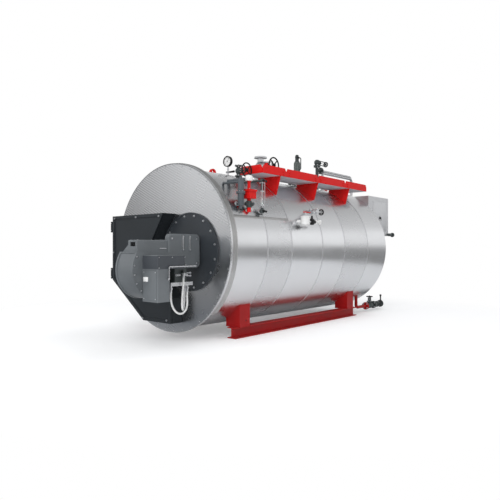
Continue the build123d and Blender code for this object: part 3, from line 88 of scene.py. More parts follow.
scene = bpy.context.scene
scene.view_settings.view_transform = "Standard"
lens = bpy.data.cameras.new("photo_lens")
lens.sensor_width = 36.0
lens.lens = LENS
lens.clip_end = 200.0
camera = bpy.data.objects.new("photo_camera", lens)
camera.location = spot(*STANDPOINT)
camera.rotation_euler = (radians(90), 0, radians(LOOK_LEFT))
scene.collection.objects.link(camera)
scene.camera = camera
print("camera at", tuple(round(value, 3) for value in camera.location))

# %% [markdown]
# ## Nodes in one line each
# A procedural finish is a small graph of nodes. One helper makes a node, sets its values and joins
# its inputs, so that a finish reads from top to bottom like a recipe. All patterns sit on Object
# coordinates, which stay with the metal whatever the camera does.

# %% Helpers for finishes
def node(tree, kind, inputs=None, **settings):
    """Add a shader node, set its options and fill or join its inputs."""
    made = tree.nodes.new("ShaderNode" + kind)
    for option, value in settings.items():
        setattr(made, option, value)
    for socket, value in (inputs or {}).items():
        if isinstance(value, bpy.types.NodeSocket):
            tree.links.new(value, made.inputs[socket])
        else:
            made.inputs[socket].default_value = value
    return made


def new_finish(name, metallic, specular=0.5):
    """An empty finish with its shader and its Object coordinates."""
    finish = bpy.data.materials.new(name)
    finish.use_nodes = True
    tree = finish.node_tree
    shader = tree.nodes["Principled BSDF"]
    shader.inputs["Metallic"].default_value = metallic
    shader.inputs["Specular IOR Level"].default_value = specular
    coords = node(tree, "TexCoord").outputs["Object"]
    return finish, tree, shader, coords


def noise(tree, coords, scale, detail=3.0, stretch=None):
    """A cloud of noise, optionally stretched along an axis."""
    if stretch:
        coords = node(tree, "Mapping", {"Vector": coords, "Scale": stretch}).outputs["Vector"]
    made = node(tree, "TexNoise", {"Vector": coords, "Scale": scale, "Detail": detail})
    return made.outputs["Fac"]


def between(tree, value, low, high, start=0.3, end=0.7):
    """Stretch a value onto a range."""
    inputs = {"Value": value, "From Min": start, "From Max": end, "To Min": low, "To Max": high}
    return node(tree, "MapRange", inputs).outputs["Result"]


def reckon(tree, operation, first, second):
    """One sum on two values."""
    return node(tree, "Math", {0: first, 1: second}, operation=operation).outputs[0]


def tinted(tree, colour, amount):
    """A colour multiplied by a grey amount."""
    inputs = {0: 1.0, 6: (*colour, 1.0), 7: amount}
    return node(tree, "Mix", inputs, data_type="RGBA", blend_type="MULTIPLY").outputs[2]


def faded(tree, below, above, share):
    """Two colours mixed by a share."""
    return node(tree, "Mix", {0: share, 6: below, 7: above}, data_type="RGBA").outputs[2]


def bumped(tree, shader, height, strength, distance):
    """Let a height pattern tilt the surface."""
    inputs = {"Height": height, "Strength": strength, "Distance": distance}
    tree.links.new(node(tree, "Bump", inputs).outputs["Normal"], shader.inputs["Normal"])


print("finish helpers ready")

# %% [markdown]
# ## Painted and cast surfaces
# The chamber, burner, walkway and base are painted, and the valves are painted castings. Paint is
# never one even colour: it clouds a little, has a fine orange peel, gathers dust where it faces up,
# and its gloss wanders. One function mixes those four things, and each paint gets its own amounts.

# %% Paints and castings
DUST = (0.36, 0.34, 0.31)
CLOUD_SCALE, DUST_SCALE = 3.1, 17.0
PEEL_DEPTH = 0.0012


def painted(name, colour, rough, cloud=0.12, peel=0.12, grain=420.0, dust=0.1, specular=0.5):
    """A paint with clouds, orange peel, uneven gloss and dust on what faces up."""
    finish, tree, shader, coords = new_finish(name, 0.0, specular)
    clouds = noise(tree, coords, CLOUD_SCALE, 5.0)
    fine = noise(tree, coords, grain, 2.0)
    colour = tinted(tree, colour, between(tree, clouds, 1 - cloud, 1 + cloud))
    normal = node(tree, "NewGeometry").outputs["Normal"]
    upward = node(tree, "SeparateXYZ", {"Vector": normal}).outputs["Z"]
    settled = between(tree, upward, 0.0, dust, 0.55, 1.0)
    share = reckon(tree, "MULTIPLY", settled, noise(tree, coords, DUST_SCALE, 6.0))
    tree.links.new(faded(tree, colour, (*DUST, 1.0), share), shader.inputs["Base Color"])
    gloss = between(tree, clouds, rough - 0.07, rough + 0.09)
    tree.links.new(gloss, shader.inputs["Roughness"])
    bumped(tree, shader, fine, peel, PEEL_DEPTH)
    return finish


chamber_paint = painted("chamber_anthracite", (0.020, 0.024, 0.028), 0.45, peel=0.08, specular=0.35)
plate_paint = painted("burner_plate_paint", (0.030, 0.035, 0.041), 0.38, peel=0.07, specular=0.45)
burner_paint = painted("burner_hammer_grey", (0.127, 0.139, 0.148), 0.42, peel=0.3, grain=240.0)
burner_cover = painted("burner_cover_dark", (0.050, 0.056, 0.065), 0.48, peel=0.2, grain=600.0)
walkway_red = painted("walkway_red", (0.680, 0.010, 0.009), 0.48, 0.08, 0.05, dust=0.03, specular=0.22)
# Painted shade: the base red is darker than the walkway red partly to stand for the shade under the
# barrel.
base_red = painted("base_red", (0.370, 0.008, 0.008), 0.48, 0.16, 0.07, dust=0.06, specular=0.25)
valve_iron = painted("valve_iron", (0.050, 0.060, 0.060), 0.47, cloud=0.2, peel=0.35, grain=300.0)
wheel_black = painted("wheel_enamel", (0.012, 0.012, 0.013), 0.42, peel=0.05, dust=0.08, specular=0.3)
gauge_enamel = painted("gauge_enamel", (0.80, 0.80, 0.79), 0.25, cloud=0.03, peel=0.02, dust=0.05)
vessel_dark_grey = painted("level_vessel", (0.085, 0.098, 0.110), 0.38)
spring_cast = painted("spring_housing_cast", (0.130, 0.150, 0.140), 0.46, cloud=0.2, peel=0.3, grain=300.0)
soot_steel = painted("sooted_steel", (0.035, 0.031, 0.028), 0.72, cloud=0.35, peel=0.6, grain=160.0)
print("paints made")

# %% [markdown]
# ## Sheet metal
# The barrel is wrapped in aluminium sheet. Rolled sheet is a satin mirror: it shows the room as long
# soft bands. It is also never quite flat, so a slow wave bends those bands, and each sheet came from
# another coil, so neighbours differ slightly in tone. The front sheet is embossed all over, which is
# done with a fine slanting wave as a bump. Its lines are also drawn into the colour as painted shade,
# strongest at the upper left and fading out towards the burner, and painted shade darkens the sheet
# towards the bottom. Weathered zinc on the grating is too dull to mirror anything, so it is mixed like
# a paint.

# %% Aluminium finishes
SHEET_LAPS = (722.0, 1240.0, 1996.0, 2621.0, 3367.0)
ALUMINIUM = (0.80, 0.81, 0.83)
EMBOSS_SLANT = 64
EMBOSS_SCALE = 10.5


def casing_sheet():
    """Satin sheet whose tone and gloss step at every lap."""
    finish, tree, shader, coords = new_finish("casing_aluminium", 1.0)
    along = node(tree, "SeparateXYZ", {"Vector": coords}).outputs["Y"]
    number = reckon(tree, "GREATER_THAN", along, spot(0, SHEET_LAPS[0], 0).y)
    for lap in SHEET_LAPS[1:]:
        number = reckon(tree, "ADD", number, reckon(tree, "GREATER_THAN", along, spot(0, lap, 0).y))
    coil = node(tree, "TexWhiteNoise", {"W": number}, noise_dimensions="1D").outputs["Value"]
    tone = between(tree, coil, 0.90, 1.0, 0.0, 1.0)
    tree.links.new(tinted(tree, ALUMINIUM, tone), shader.inputs["Base Color"])
    smears = noise(tree, coords, 5.0, 6.0, (1.0, 0.35, 1.0))
    dull = between(tree, coil, 0.04, 0.0, 0.0, 1.0)
    gloss = reckon(tree, "ADD", between(tree, smears, 0.20, 0.26), dull)
    tree.links.new(gloss, shader.inputs["Roughness"])
    waves = noise(tree, coords, 1.7, 1.0)
    bumped(tree, shader, waves, 0.04, 0.05)
    return finish


def embossed_sheet():
    """Front sheet with fine diagonal embossing, painted shade on its lines and towards the bottom."""
    finish, tree, shader, coords = new_finish("embossed_aluminium", 1.0)
    turn = {"Vector": coords, "Rotation": (0, radians(EMBOSS_SLANT), 0)}
    lines = node(tree, "Mapping", turn).outputs["Vector"]
    wave = {"Vector": lines, "Scale": EMBOSS_SCALE, "Distortion": 0.3, "Detail": 1.0}
    ridges = node(tree, "TexWave", wave, bands_direction="X").outputs["Fac"]
    sides = node(tree, "SeparateXYZ", {"Vector": coords}).outputs
    # Painted shade: the embossing's lines darken the colour, most at the upper left, fading to the right
    # and down.
    ridge_shade_reach = reckon(tree, "MULTIPLY", between(tree, sides["X"], 1.0, 0.12, -0.75, 0.3),
                   between(tree, sides["Z"], 0.15, 1.0, 0.9, 1.6))
    dim = reckon(tree, "MULTIPLY", ridge_shade_reach, between(tree, ridges, 0.44, 0.04, 0.1, 0.9))
    mottle = noise(tree, coords, 5.0, 5.0)
    tone = reckon(tree, "SUBTRACT", between(tree, mottle, 0.97, 1.02), dim)
    # Painted shade: the whole front sheet is darkened towards the bottom.
    low = between(tree, sides["Z"], 0.70, 1.0, 0.35, 1.05)
    shade = reckon(tree, "MULTIPLY", tone, low)
    tree.links.new(tinted(tree, ALUMINIUM, shade), shader.inputs["Base Color"])
    tree.links.new(between(tree, mottle, 0.26, 0.30), shader.inputs["Roughness"])
    bumped(tree, shader, ridges, 0.05, 0.004)
    return finish


def bright_metal(name, colour, rough, grain=90.0):
    """Bare metal with tooling marks."""
    finish, tree, shader, coords = new_finish(name, 1.0)
    marks = noise(tree, coords, grain, 4.0)
    tree.links.new(tinted(tree, colour, between(tree, marks, 0.9, 1.04)), shader.inputs["Base Color"])
    tree.links.new(between(tree, marks, rough - 0.08, rough + 0.1), shader.inputs["Roughness"])
    bumped(tree, shader, marks, 0.08, 0.0008)
    return finish


casing_metal = casing_sheet()
front_metal = embossed_sheet()
hood_metal = bright_metal("hood_band", (0.52, 0.52, 0.52), 0.36, 14.0)
box_metal = bright_metal("economiser_sheet", (0.82, 0.83, 0.85), 0.56, 6.0)
lap_metal = bright_metal("cladding_lap", (0.70, 0.71, 0.73), 0.34, 40.0)
bright_steel = bright_metal("bright_steel", (0.66, 0.67, 0.69), 0.28)
zinc = bright_metal("zinc_plate", (0.74, 0.75, 0.77), 0.32, 140.0)
galvanised = painted("galvanised_grating", (0.62, 0.62, 0.66), 0.50, cloud=0.18, peel=0.10, grain=90.0)
print("metals made")

# %% [markdown]
# ## Glass and braid
# The water gauge is a clear tube, and the oil hoses have a woven white jacket. The glass is set on
# the shader itself. The braid is two sets of crossing diagonal threads, as bump and as a small
# change of tone.

# %% Glass and hose braid
def clear_glass():
    """Slightly green gauge glass."""
    finish, tree, shader, coords = new_finish("gauge_glass", 0.0)
    shader.inputs["Transmission Weight"].default_value = 0.9
    shader.inputs["IOR"].default_value = 1.47
    streaks = noise(tree, coords, 40.0, 3.0, (1.0, 1.0, 0.1))
    shade = between(tree, streaks, 0.95, 1.0)
    tree.links.new(tinted(tree, (0.86, 0.93, 0.91), shade), shader.inputs["Base Color"])
    tree.links.new(between(tree, streaks, 0.02, 0.08), shader.inputs["Roughness"])
    return finish


def woven_braid():
    """White braided jacket."""
    finish, tree, shader, coords = new_finish("hose_braid", 0.0, 0.3)
    threads = []
    for slant in (40, -40):
        turn = {"Vector": coords, "Rotation": (radians(slant), 0, 0)}
        lines = node(tree, "Mapping", turn).outputs["Vector"]
        wave = {"Vector": lines, "Scale": 70.0, "Distortion": 0.3}
        threads.append(node(tree, "TexWave", wave, bands_direction="Z").outputs["Fac"])
    weave = reckon(tree, "MAXIMUM", *threads)
    shade = between(tree, weave, 0.72, 1.0)
    tree.links.new(tinted(tree, (0.86, 0.86, 0.85), shade), shader.inputs["Base Color"])
    shader.inputs["Roughness"].default_value = 0.62
    bumped(tree, shader, weave, 0.5, 0.0012)
    return finish


gauge_glass = clear_glass()
hose_braid = woven_braid()
print("glass and braid made")

# %% [markdown]
# ## Finishes on the solids
# Each CAD solid keeps its shape and takes the finish of its slot. Its mesh isn't touched: only the
# material in its slot changes. A few solids share a slot with others but look different on the real
# boiler, such as the duller hood band, and have a finish of their own.

# %% Give every CAD solid its finish
finish_of_slot = {
    "casing_aluminium": casing_metal,
    "front_sheet": front_metal,
    "anthracite": chamber_paint,
    "plate_steel": plate_paint,
    "burner_grey": burner_paint,
    "burner_dark": burner_cover,
    "red_paint": walkway_red,
    "base_red": base_red,
    "valve_iron": valve_iron,
    "wheel_black": wheel_black,
    "bright_steel": bright_steel,
    "floor_grating": galvanised,
    "glass": gauge_glass,
    "hose_braid": hose_braid,
    "tube_plate_steel": soot_steel,
    "gauge_white": gauge_enamel,
    "bottle_grey": vessel_dark_grey,
}
own_finish = {
    "front_hood_rim": hood_metal,
    "economiser_casing": box_metal,
    "pressure_gauge": wheel_black,
    "oil_manifold": zinc,
    "salinity_valve_body": zinc,
}
slot_of_node = {part["node"]: part["material_slot"] for part in frame["record"]["subparts"]}
for name, solid in frame["nodes"].items():
    for place in solid.material_slots:
        place.material = own_finish.get(name, finish_of_slot[slot_of_node[name]])
print(len(frame["nodes"]), "solids finished")

# %% [markdown]
# ## The two oil hoses
# Each hose is a fixed length of braided rubber that hangs from two fittings. It is one smooth line
# through the hanging points, given a round section. The line is a curve of order three, which
# rounds the loop at the bottom the way a stiff hose does.

# %% Hoses hanging under the burner
HOSE_THICK = 0.022
supply_points = (
    (655, -540, -470), (655, -540, -530), (655, -536, -595), (655, -519, -656), (655, -480, -711),
    (655, -425, -748), (655, -362, -750), (655, -312, -712), (655, -293, -651), (655, -295, -590),
    (655, -296, -530), (655, -296, -470),
)
return_points = (
    (712, -402, -300), (712, -402, -380), (713, -412, -465), (713, -422, -550), (711, -424, -630),
    (693, -403, -686), (656, -359, -712), (613, -312, -700), (582, -276, -652), (572, -262, -592),
    (571, -260, -530), (571, -260, -470),
)


def hang_hose(name, points, solid):
    """One hose as a smooth curve that stands for its CAD tube."""
    curve = bpy.data.curves.new(name, "CURVE")
    curve.dimensions = "3D"
    curve.bevel_depth = HOSE_THICK / 2
    curve.bevel_resolution = 5
    curve.resolution_u = 10
    line = curve.splines.new("NURBS")
    line.points.add(len(points) - 1)
    for point, place in zip(line.points, points):
        point.co = (*spot(*place), 1.0)
    line.order_u = 3
    line.use_endpoint_u = True
    curve.materials.append(hose_braid)
    hose = bpy.data.objects.new(name, curve)
    scene.collection.objects.link(hose)
    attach(hose, "boiler")
    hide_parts(solid)


hang_hose("supply_hose", supply_points, "oil_hose_supply")
hang_hose("return_hose", return_points, "oil_hose_return")
print("hoses hung")

# %% [markdown]
# ## Tools for small fittings
# Bolts, rings, wheels and plates come back dozens of times on a boiler. Each could be modelled by
# hand, but a few helpers around the mesh operators keep them alike: a drum is a capped cone, a
# turned piece is a profile that is spun round, a hoop is a small circle that is spun round, and a
# slab is a cube with bevelled edges. A helper only adds to an open mesh, so that a whole ring of
# bolts ends up as one piece.

# %% Helpers for pieces
def facing(place, direction):
    """A matrix that stands a shape on a place with its Z along a direction."""
    turn = Vector(direction).to_track_quat("Z", "Y").to_matrix().to_4x4()
    return Matrix.Translation(place) @ turn


def drum(bm, place, direction, radius, length, end_radius=None, sides=24):
    """A round or many-sided bar from a place along a direction."""
    end = radius if end_radius is None else end_radius
    stand = facing(place, direction) @ Matrix.Translation((0, 0, length * MM / 2))
    bmesh.ops.create_cone(
        bm, cap_ends=True, segments=sides, radius1=radius * MM, radius2=end * MM,
        depth=length * MM, matrix=stand,
    )


def spun(bm, stand, geometry, sides):
    """Spin an open line or a small circle all the way round the stand's Z."""
    bmesh.ops.spin(
        bm, geom=geometry, cent=stand.translation, axis=stand.col[2].xyz, angle=2 * pi,
        steps=sides, use_merge=True, use_duplicate=False,
    )


def turned(bm, place, direction, profile, sides=32, closed=False):
    """A profile of (radius, distance) points spun round a direction."""
    stand = facing(place, direction)
    line = [bm.verts.new(stand @ Vector((radius * MM, 0, along * MM))) for radius, along in profile]
    joints = list(zip(line, line[1:])) + ([(line[-1], line[0])] if closed else [])
    spun(bm, stand, line + [bm.edges.new(pair) for pair in joints], sides)


def hoop(bm, place, direction, radius, thick, sides=40, round_sides=8):
    """A ring of round bar."""
    stand = facing(place, direction)
    section = stand @ Matrix.Translation((radius * MM, 0, 0)) @ Matrix.Rotation(pi / 2, 4, "X")
    circle = bmesh.ops.create_circle(bm, segments=round_sides, radius=thick * MM, matrix=section)["verts"]
    spun(bm, stand, circle + list({edge for vert in circle for edge in vert.link_edges}), sides)


def ball(bm, place, direction, radius, flat=1.0, across=12, rows=6):
    """A ball, or a flat dome if squeezed along its direction."""
    stand = facing(place, direction) @ Matrix.Diagonal((1, 1, flat, 1))
    bmesh.ops.create_uvsphere(bm, u_segments=across, v_segments=rows, radius=radius * MM, matrix=stand)


def block(bm, stand, size, edge):
    """A cube with bevelled edges, stood where a matrix says."""
    scale = Matrix.Diagonal((*(length * MM for length in size), 1))
    corners = bmesh.ops.create_cube(bm, size=1.0, matrix=stand @ scale)["verts"]
    edges = list({line for corner in corners for line in corner.link_edges})
    bmesh.ops.bevel(
        bm, geom=edges, offset=edge * MM, offset_type="OFFSET", segments=2, profile=0.5,
        affect="EDGES", material=-1,
    )


def slab(bm, low, high, edge=1.5):
    """A bevelled plate or bar between two corners."""
    middle = [(a + b) / 2 for a, b in zip(low, high)]
    size = [b - a for a, b in zip(low, high)]
    block(bm, Matrix.Translation(spot(*middle)), size, edge)


def hex_bolt(bm, place, direction, across):
    """A washer and a hexagon head with a chamfered top, few faces each."""
    step = Vector(direction).normalized() * across * MM
    drum(bm, place - step * 0.04, direction, across * 0.66, across * 0.2, sides=12)
    drum(bm, place + step * 0.16, direction, across * 0.577, across * 0.36, sides=6)
    drum(bm, place + step * 0.52, direction, across * 0.577, across * 0.09, across * 0.46, sides=6)


def circle_spots(place, direction, radius, count, start=0.5):
    """Even places on a bolt circle, the first one a part of a step round."""
    stand = facing(place, direction)
    turns = [2 * pi * (number + start) / count for number in range(count)]
    return [stand @ Vector((radius * MM * cos(turn), radius * MM * sin(turn), 0)) for turn in turns]


def finished(name, bm, finish, body="boiler"):
    """Close seams, turn the faces outwards and hang the piece on its body."""
    bmesh.ops.remove_doubles(bm, verts=bm.verts, dist=0.00002)
    bmesh.ops.recalc_face_normals(bm, faces=bm.faces)
    mesh = bpy.data.meshes.new(name)
    bm.to_mesh(mesh)
    bm.free()
    mesh.materials.append(finish)
    mesh.shade_smooth()
    mesh.set_sharp_from_angle(angle=radians(34))
    piece = bpy.data.objects.new(name, mesh)
    scene.collection.objects.link(piece)
    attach(piece, body)
    print(name, len(mesh.polygons), "faces")
    return piece


RIGHT, REAR, UP = Vector((1, 0, 0)), Vector((0, 1, 0)), Vector((0, 0, 1))

# %% [markdown]
# ## Cladding laps and rivets
# The cladding is rolled in sheets that lap over each other. Each lap is a thin strip round the
# barrel, held by rivets. A strip is one short profile spun round the axis. A texture could draw the
# joint, but real strips catch the light at the barrel's outline.

# %% Laps, side seams and their rivets
CASING_R = 1030.0
SEAM_ANGLE = radians(21.5)
SEAM_Y = (110.0, 1240.0)
SEAM_RIVETS, SEAM_RIVET_PITCH, SEAM_FIRST_RIVET = 11, 104, 60
LAP_RIVETS = 44
LAP_WIDE = 28.0

bm = bmesh.new()
for lap in SHEET_LAPS:
    strip = (
        (CASING_R - 2, 0), (CASING_R + 0.6, 0), (CASING_R + 1.4, 2),
        (CASING_R + 0.6, LAP_WIDE), (CASING_R - 2, LAP_WIDE),
    )
    turned(bm, spot(0, lap - LAP_WIDE / 2, 0), REAR, strip, sides=160, closed=True)
finished("cladding_laps", bm, lap_metal)

bm = bmesh.new()
seam_middle = spot(0, sum(SEAM_Y) / 2, 0)
for side in (0, 1):
    roll = Matrix.Rotation(side * pi + SEAM_ANGLE * (2 * side - 1), 4, "Y")
    out = Matrix.Translation((CASING_R * MM, 0, 0))
    block(bm, Matrix.Translation(seam_middle) @ roll @ out, (2.6, SEAM_Y[1] - SEAM_Y[0], 36), 0.6)
finished("cladding_seams", bm, hood_metal)

bm = bmesh.new()
for lap in SHEET_LAPS:
    for rivet in circle_spots(spot(0, lap, 0), REAR, CASING_R + 1, LAP_RIVETS):
        ball(bm, rivet, rivet - spot(0, lap, 0), 4.5, 0.5, 8, 5)
for number in range(SEAM_RIVETS):
    y = SEAM_Y[0] + SEAM_FIRST_RIVET + SEAM_RIVET_PITCH * number
    for side in (1, -1):
        out = Vector((side * cos(SEAM_ANGLE), 0, sin(SEAM_ANGLE)))
        ball(bm, spot(0, y, 0) + out * (CASING_R + 1) * MM, out, 4.0, 0.5, 8, 5)
finished("cladding_rivets", bm, zinc)

# %% [markdown]
# ## Screws on the front hood and the rear sheet
# The hood's front sheet is screwed on near its edge, and its band is screwed between the two
# pressed beads. The screw heads are flattened balls with few faces, because there are many. A bright
# round bead runs along the front sheet's edge.

# %% Hood and rear screws
HOOD_R = 1075.0
HOOD_SCREW_Y, REAR_SHEET_Y = 102, 4041
bm = bmesh.new()
for screw in circle_spots(spot(0, -1, 0), -REAR, 1044, 40):
    ball(bm, screw, REAR, 9, 0.5, 10, 5)
for screw in circle_spots(spot(0, HOOD_SCREW_Y, 0), REAR, HOOD_R, 60):
    if screw.z > axis_z - 0.72 * HOOD_R * MM:
        ball(bm, screw, screw - spot(0, HOOD_SCREW_Y, 0), 6, 0.5, 8, 5)
for screw in circle_spots(spot(0, REAR_SHEET_Y, 0), REAR, 1000, 40):
    ball(bm, screw, REAR, 8, 0.5, 10, 5)
finished("sheet_screws", bm, zinc)

bm = bmesh.new()
hoop(bm, spot(0, 5, 0), REAR, HOOD_R - 8, 7, 160, 10)
finished("hood_bead", bm, bright_steel)

# %% [markdown]
# ## Bolts of the smoke door and the burner plate
# The smoke door closes with bolts in its raised border, and they swing with it, so they ride on
# the door. The hinge leaves have bolts of their own, and the burner's round plate has a full circle
# of bright hexagon bolts.

# %% Door bolts and plate bolts
DOOR_Y = -200
DOOR_BOLTS = (
    (-895, 398), (-428, 399), (34, 395), (-285, -897), (183, -888), (-920, -60), (-80, -120),
)
HINGE_UPS = (287, -345)
BURNER_PLATE, PLATE_BOLTS_R = spot(395, -19, -48), 441

bm = bmesh.new()
for right, up in DOOR_BOLTS:
    hex_bolt(bm, spot(right, DOOR_Y, up), -REAR, 20)
finished("door_bolts", bm, zinc, "smoke_box_door")

bm = bmesh.new()
for hinge in HINGE_UPS:
    for up in (-62, 62):
        hex_bolt(bm, spot(-993, -118, hinge + up), -RIGHT, 15)
finished("hinge_bolts", bm, zinc)

bm = bmesh.new()
for bolt in circle_spots(BURNER_PLATE, -REAR, PLATE_BOLTS_R, 16):
    hex_bolt(bm, bolt, -REAR, 22)
finished("burner_plate_bolts", bm, zinc)

# %% [markdown]
# ## The burner's casting and covers
# The fan scroll is a casting that is screwed together along its rings. The air housing has two
# upright clamp bars on its side cover, and the control cabinet a set-on front. Bars and lids are
# bevelled slabs set half into what carries them, and black blades stand in the air mouth.

# %% Burner clamps, lids and screws
HEAD_SIDE = 605
SCROLL_SIDES = (299, 605)
FAN_Y, FAN_UP, FAN_SCREW_R = -685, -240, 312

bm = bmesh.new()
slab(bm, (600, -500, -222), (611, -110, -206), 3)
slab(bm, (620, -894, -556), (838, -884, -246), 5)
slab(bm, (616, -880, -92), (842, -516, -81), 4)
for x in (330, 420, 510):
    slab(bm, (x - 6, -500, 78), (x + 6, -60, 92), 3)
finished("burner_lids", bm, burner_paint)

bm = bmesh.new()
for y in (-318, -212):
    slab(bm, (603, y - 7, -30), (616, y + 7, 140), 5)
    for up in (-22, 128):
        hex_bolt(bm, spot(616, y, up), RIGHT, 13)
slab(bm, (583, -645, -14), (592, -545, -5), 3)
for y, up in ((-345, -96), (-480, 104), (-480, -180), (-100, 104), (-100, -180)):
    hex_bolt(bm, spot(HEAD_SIDE, y, up), RIGHT, 16)
for screw in circle_spots(spot(SCROLL_SIDES[1], FAN_Y, FAN_UP), RIGHT, FAN_SCREW_R, 20):
    if screw.z < axis_z - 0.06 and not (screw.y > spot(0, -890, 0).y and screw.z > axis_z - 0.58):
        hex_bolt(bm, screw, RIGHT, 14)
for screw in circle_spots(spot(SCROLL_SIDES[0], FAN_Y, FAN_UP), -RIGHT, FAN_SCREW_R, 20):
    if screw.z < axis_z - 0.07 and screw.y < spot(0, -545, 0).y:
        hex_bolt(bm, screw, -RIGHT, 14)
for x, up in ((634, -540), (824, -540), (634, -262), (824, -262)):
    ball(bm, spot(x, -894, up), REAR, 6, 0.5)
for y in (-880, -700, -520):
    for up in (-214, -104):
        ball(bm, spot(853, y + 12, up), RIGHT, 5, 0.5, 8, 5)
for x in (445, 565):
    for y in (-920, -735, -550):
        ball(bm, spot(x, y, 82), UP, 6, 0.5, 8, 5)
finished("burner_screws", bm, zinc)

bm = bmesh.new()
for up in (20, 29, 38, 47):
    slab(bm, (459, -934, up), (551, -916, up + 3), 0.8)
drum(bm, spot(184, -735, -100), -REAR, 14, 34, 11, 12)
finished("burner_fittings", bm, wheel_black)

# %% [markdown]
# ## A bare plate and the oil fittings
# The cabinet carries a small pale plate, left bare. The oil block has a row of bright hexagon plugs,
# two studs towards the plate and nuts on the hose tails. A plug is a six-sided drum on a collar.

# %% Cabinet plate and oil block fittings
PLUG_X, PLUG_UP = 680, -307
RETURN_TAIL = (712, -402)
bm = bmesh.new()
slab(bm, (628, -897, -360), (704, -892, -312), 1.2)
finished("cabinet_plate", bm, gauge_enamel)

bm = bmesh.new()
for y in (-488, -452, -366, -342):
    drum(bm, spot(PLUG_X, y, PLUG_UP), RIGHT, 13, 8, sides=16)
    drum(bm, spot(PLUG_X + 8, y, PLUG_UP), RIGHT, 11, 16, sides=6)
    drum(bm, spot(PLUG_X + 24, y, PLUG_UP), RIGHT, 6, 10, sides=12)
for up in (-288, -322):
    drum(bm, spot(658, -332, up), REAR, 8, 78, sides=12)
    drum(bm, spot(658, -258, up), REAR, 14, 12, sides=6)
for y in (-470, -420):
    drum(bm, spot(643, y, -187), UP, 15, 30, sides=20)
    drum(bm, spot(643, y, -157), UP, 12, 8, 7, sides=20)
for x, y, up in ((655, -540, -470), (655, -296, -470), (571, -260, -470)):
    drum(bm, spot(x, y, up - 34), UP, 15, 38, sides=16)
    drum(bm, spot(x, y, up + 2), UP, 21, 18, sides=6)
drum(bm, spot(*RETURN_TAIL, -336), UP, 15, 38, sides=16)
drum(bm, spot(*RETURN_TAIL, -300), UP, 21, 16, sides=6)
drum(bm, spot(681, -352, -203), RIGHT, 13, 16, sides=6)
drum(bm, spot(853, -748, -335), RIGHT, 13, 12, sides=6)
finished("oil_fittings", bm, zinc)

# %% [markdown]
# ## Walkway grating and its bolts
# The walkway floor is a grating: upright bars across the walkway with rods through them. Each bar is
# a thin slab. The kerb plates are bolted on both sides of their joints and to the brackets.

# %% Grating bars and kerb bolts
WALK_FLOOR_H = 996.0
WALK_X = (404, 794)
BARS, BAR_FIRST, BAR_PITCH, BAR_HALF_THICK = 70, 922, 40.4, 1.5
KERB_X, KERB_JOINTS = 802, (1418, 2224, 3030)
BRACKET_YS, BRACKET_HALF_THICK = (1293, 2233, 3173), 6

bm = bmesh.new()
for number in range(BARS):
    y = BAR_FIRST + BAR_PITCH * number
    low = (WALK_X[0], y - BAR_HALF_THICK, WALK_FLOOR_H - 2)
    slab(bm, low, (WALK_X[1], y + BAR_HALF_THICK, WALK_FLOOR_H + 22), 0.4)
for x in (450, 548, 646, 744):
    drum(bm, spot(x, 905, WALK_FLOOR_H + 17), REAR, 4, 2840, sides=8)
finished("walkway_grating", bm, galvanised)

bm = bmesh.new()
for joint in KERB_JOINTS:
    for side in (-70, 70):
        for up in (1012, 1046):
            hex_bolt(bm, spot(KERB_X, joint + side, up), RIGHT, 17)
for y in BRACKET_YS:
    for x in (640, 740):
        hex_bolt(bm, spot(x, y - BRACKET_HALF_THICK, 960), -REAR, 17)
        hex_bolt(bm, spot(x, y + BRACKET_HALF_THICK, 960), REAR, 17)
finished("walkway_bolts", bm, walkway_red)

# %% [markdown]
# ## Flange bolts on every valve
# Flanged joints are what makes a boiler look like a boiler. One table lists each joint's middle, its
# direction, bolt circle, number of bolts and head size, and one loop bolts them all.

# %% Bolt the flanges
STEAM_Y, SAFETY_Y, FEED_Y = 1833, 2808, 3426
VENT_X, VENT_Y = 482, 780
SALINITY_Y, SALINITY_UP = 1740, 512
BLOWDOWN_X, BLOWDOWN_UP = 600, -1038
FLANGES = (
    (spot(0, STEAM_Y, 1125), UP, 80, 8, 26), (spot(0, STEAM_Y, 1081), -UP, 80, 8, 26),
    (spot(112, STEAM_Y, 1258), RIGHT, 64, 8, 20),
    (spot(VENT_X, VENT_Y, 960), UP, 37, 4, 17), (spot(VENT_X, VENT_Y, 1098), UP, 37, 4, 17),
    (spot(VENT_X, VENT_Y, 1086), -UP, 37, 4, 17), (spot(538, VENT_Y, 1023), RIGHT, 31, 6, 12),
    (spot(0, SAFETY_Y, 1094), UP, 62, 8, 22), (spot(0, SAFETY_Y, 1070), -UP, 62, 8, 22),
    (spot(0, SAFETY_Y, 1256), UP, 63, 8, 18), (spot(-154, SAFETY_Y, 1165), -RIGHT, 62, 8, 22),
    (spot(0, FEED_Y, 1483), UP, 47, 4, 19), (spot(0, FEED_Y, 1451), -UP, 47, 4, 19),
    (spot(0, 3552, 1400), REAR, 47, 4, 19), (spot(0, 3536, 1400), -REAR, 47, 4, 19),
    (spot(0, 3493, 1536), REAR, 37, 6, 14),
    (spot(1102, SALINITY_Y, SALINITY_UP), RIGHT, 32, 4, 14),
    (spot(1042, 1785, SALINITY_UP), REAR, 25, 4, 11),
    (spot(BLOWDOWN_X, 4092, BLOWDOWN_UP), -REAR, 50, 4, 20),
    (spot(BLOWDOWN_X, 4128, BLOWDOWN_UP), REAR, 50, 4, 20),
    (spot(BLOWDOWN_X, 4382, BLOWDOWN_UP), -REAR, 50, 4, 20),
    (spot(BLOWDOWN_X, 4418, BLOWDOWN_UP), REAR, 50, 4, 20),
    (spot(BLOWDOWN_X, 4690, BLOWDOWN_UP), REAR, 50, 4, 20),
    (spot(BLOWDOWN_X, 4255, -965), UP, 40, 6, 14),
    (spot(0, 4075, -420), REAR, 215, 16, 26), (spot(0, 4843, 594), REAR, 255, 16, 20),
)
bm = bmesh.new()
for middle, direction, radius, count, across in FLANGES:
    for bolt in circle_spots(middle, direction, radius, count):
        hex_bolt(bm, bolt, direction, across)
finished("flange_bolts", bm, zinc)

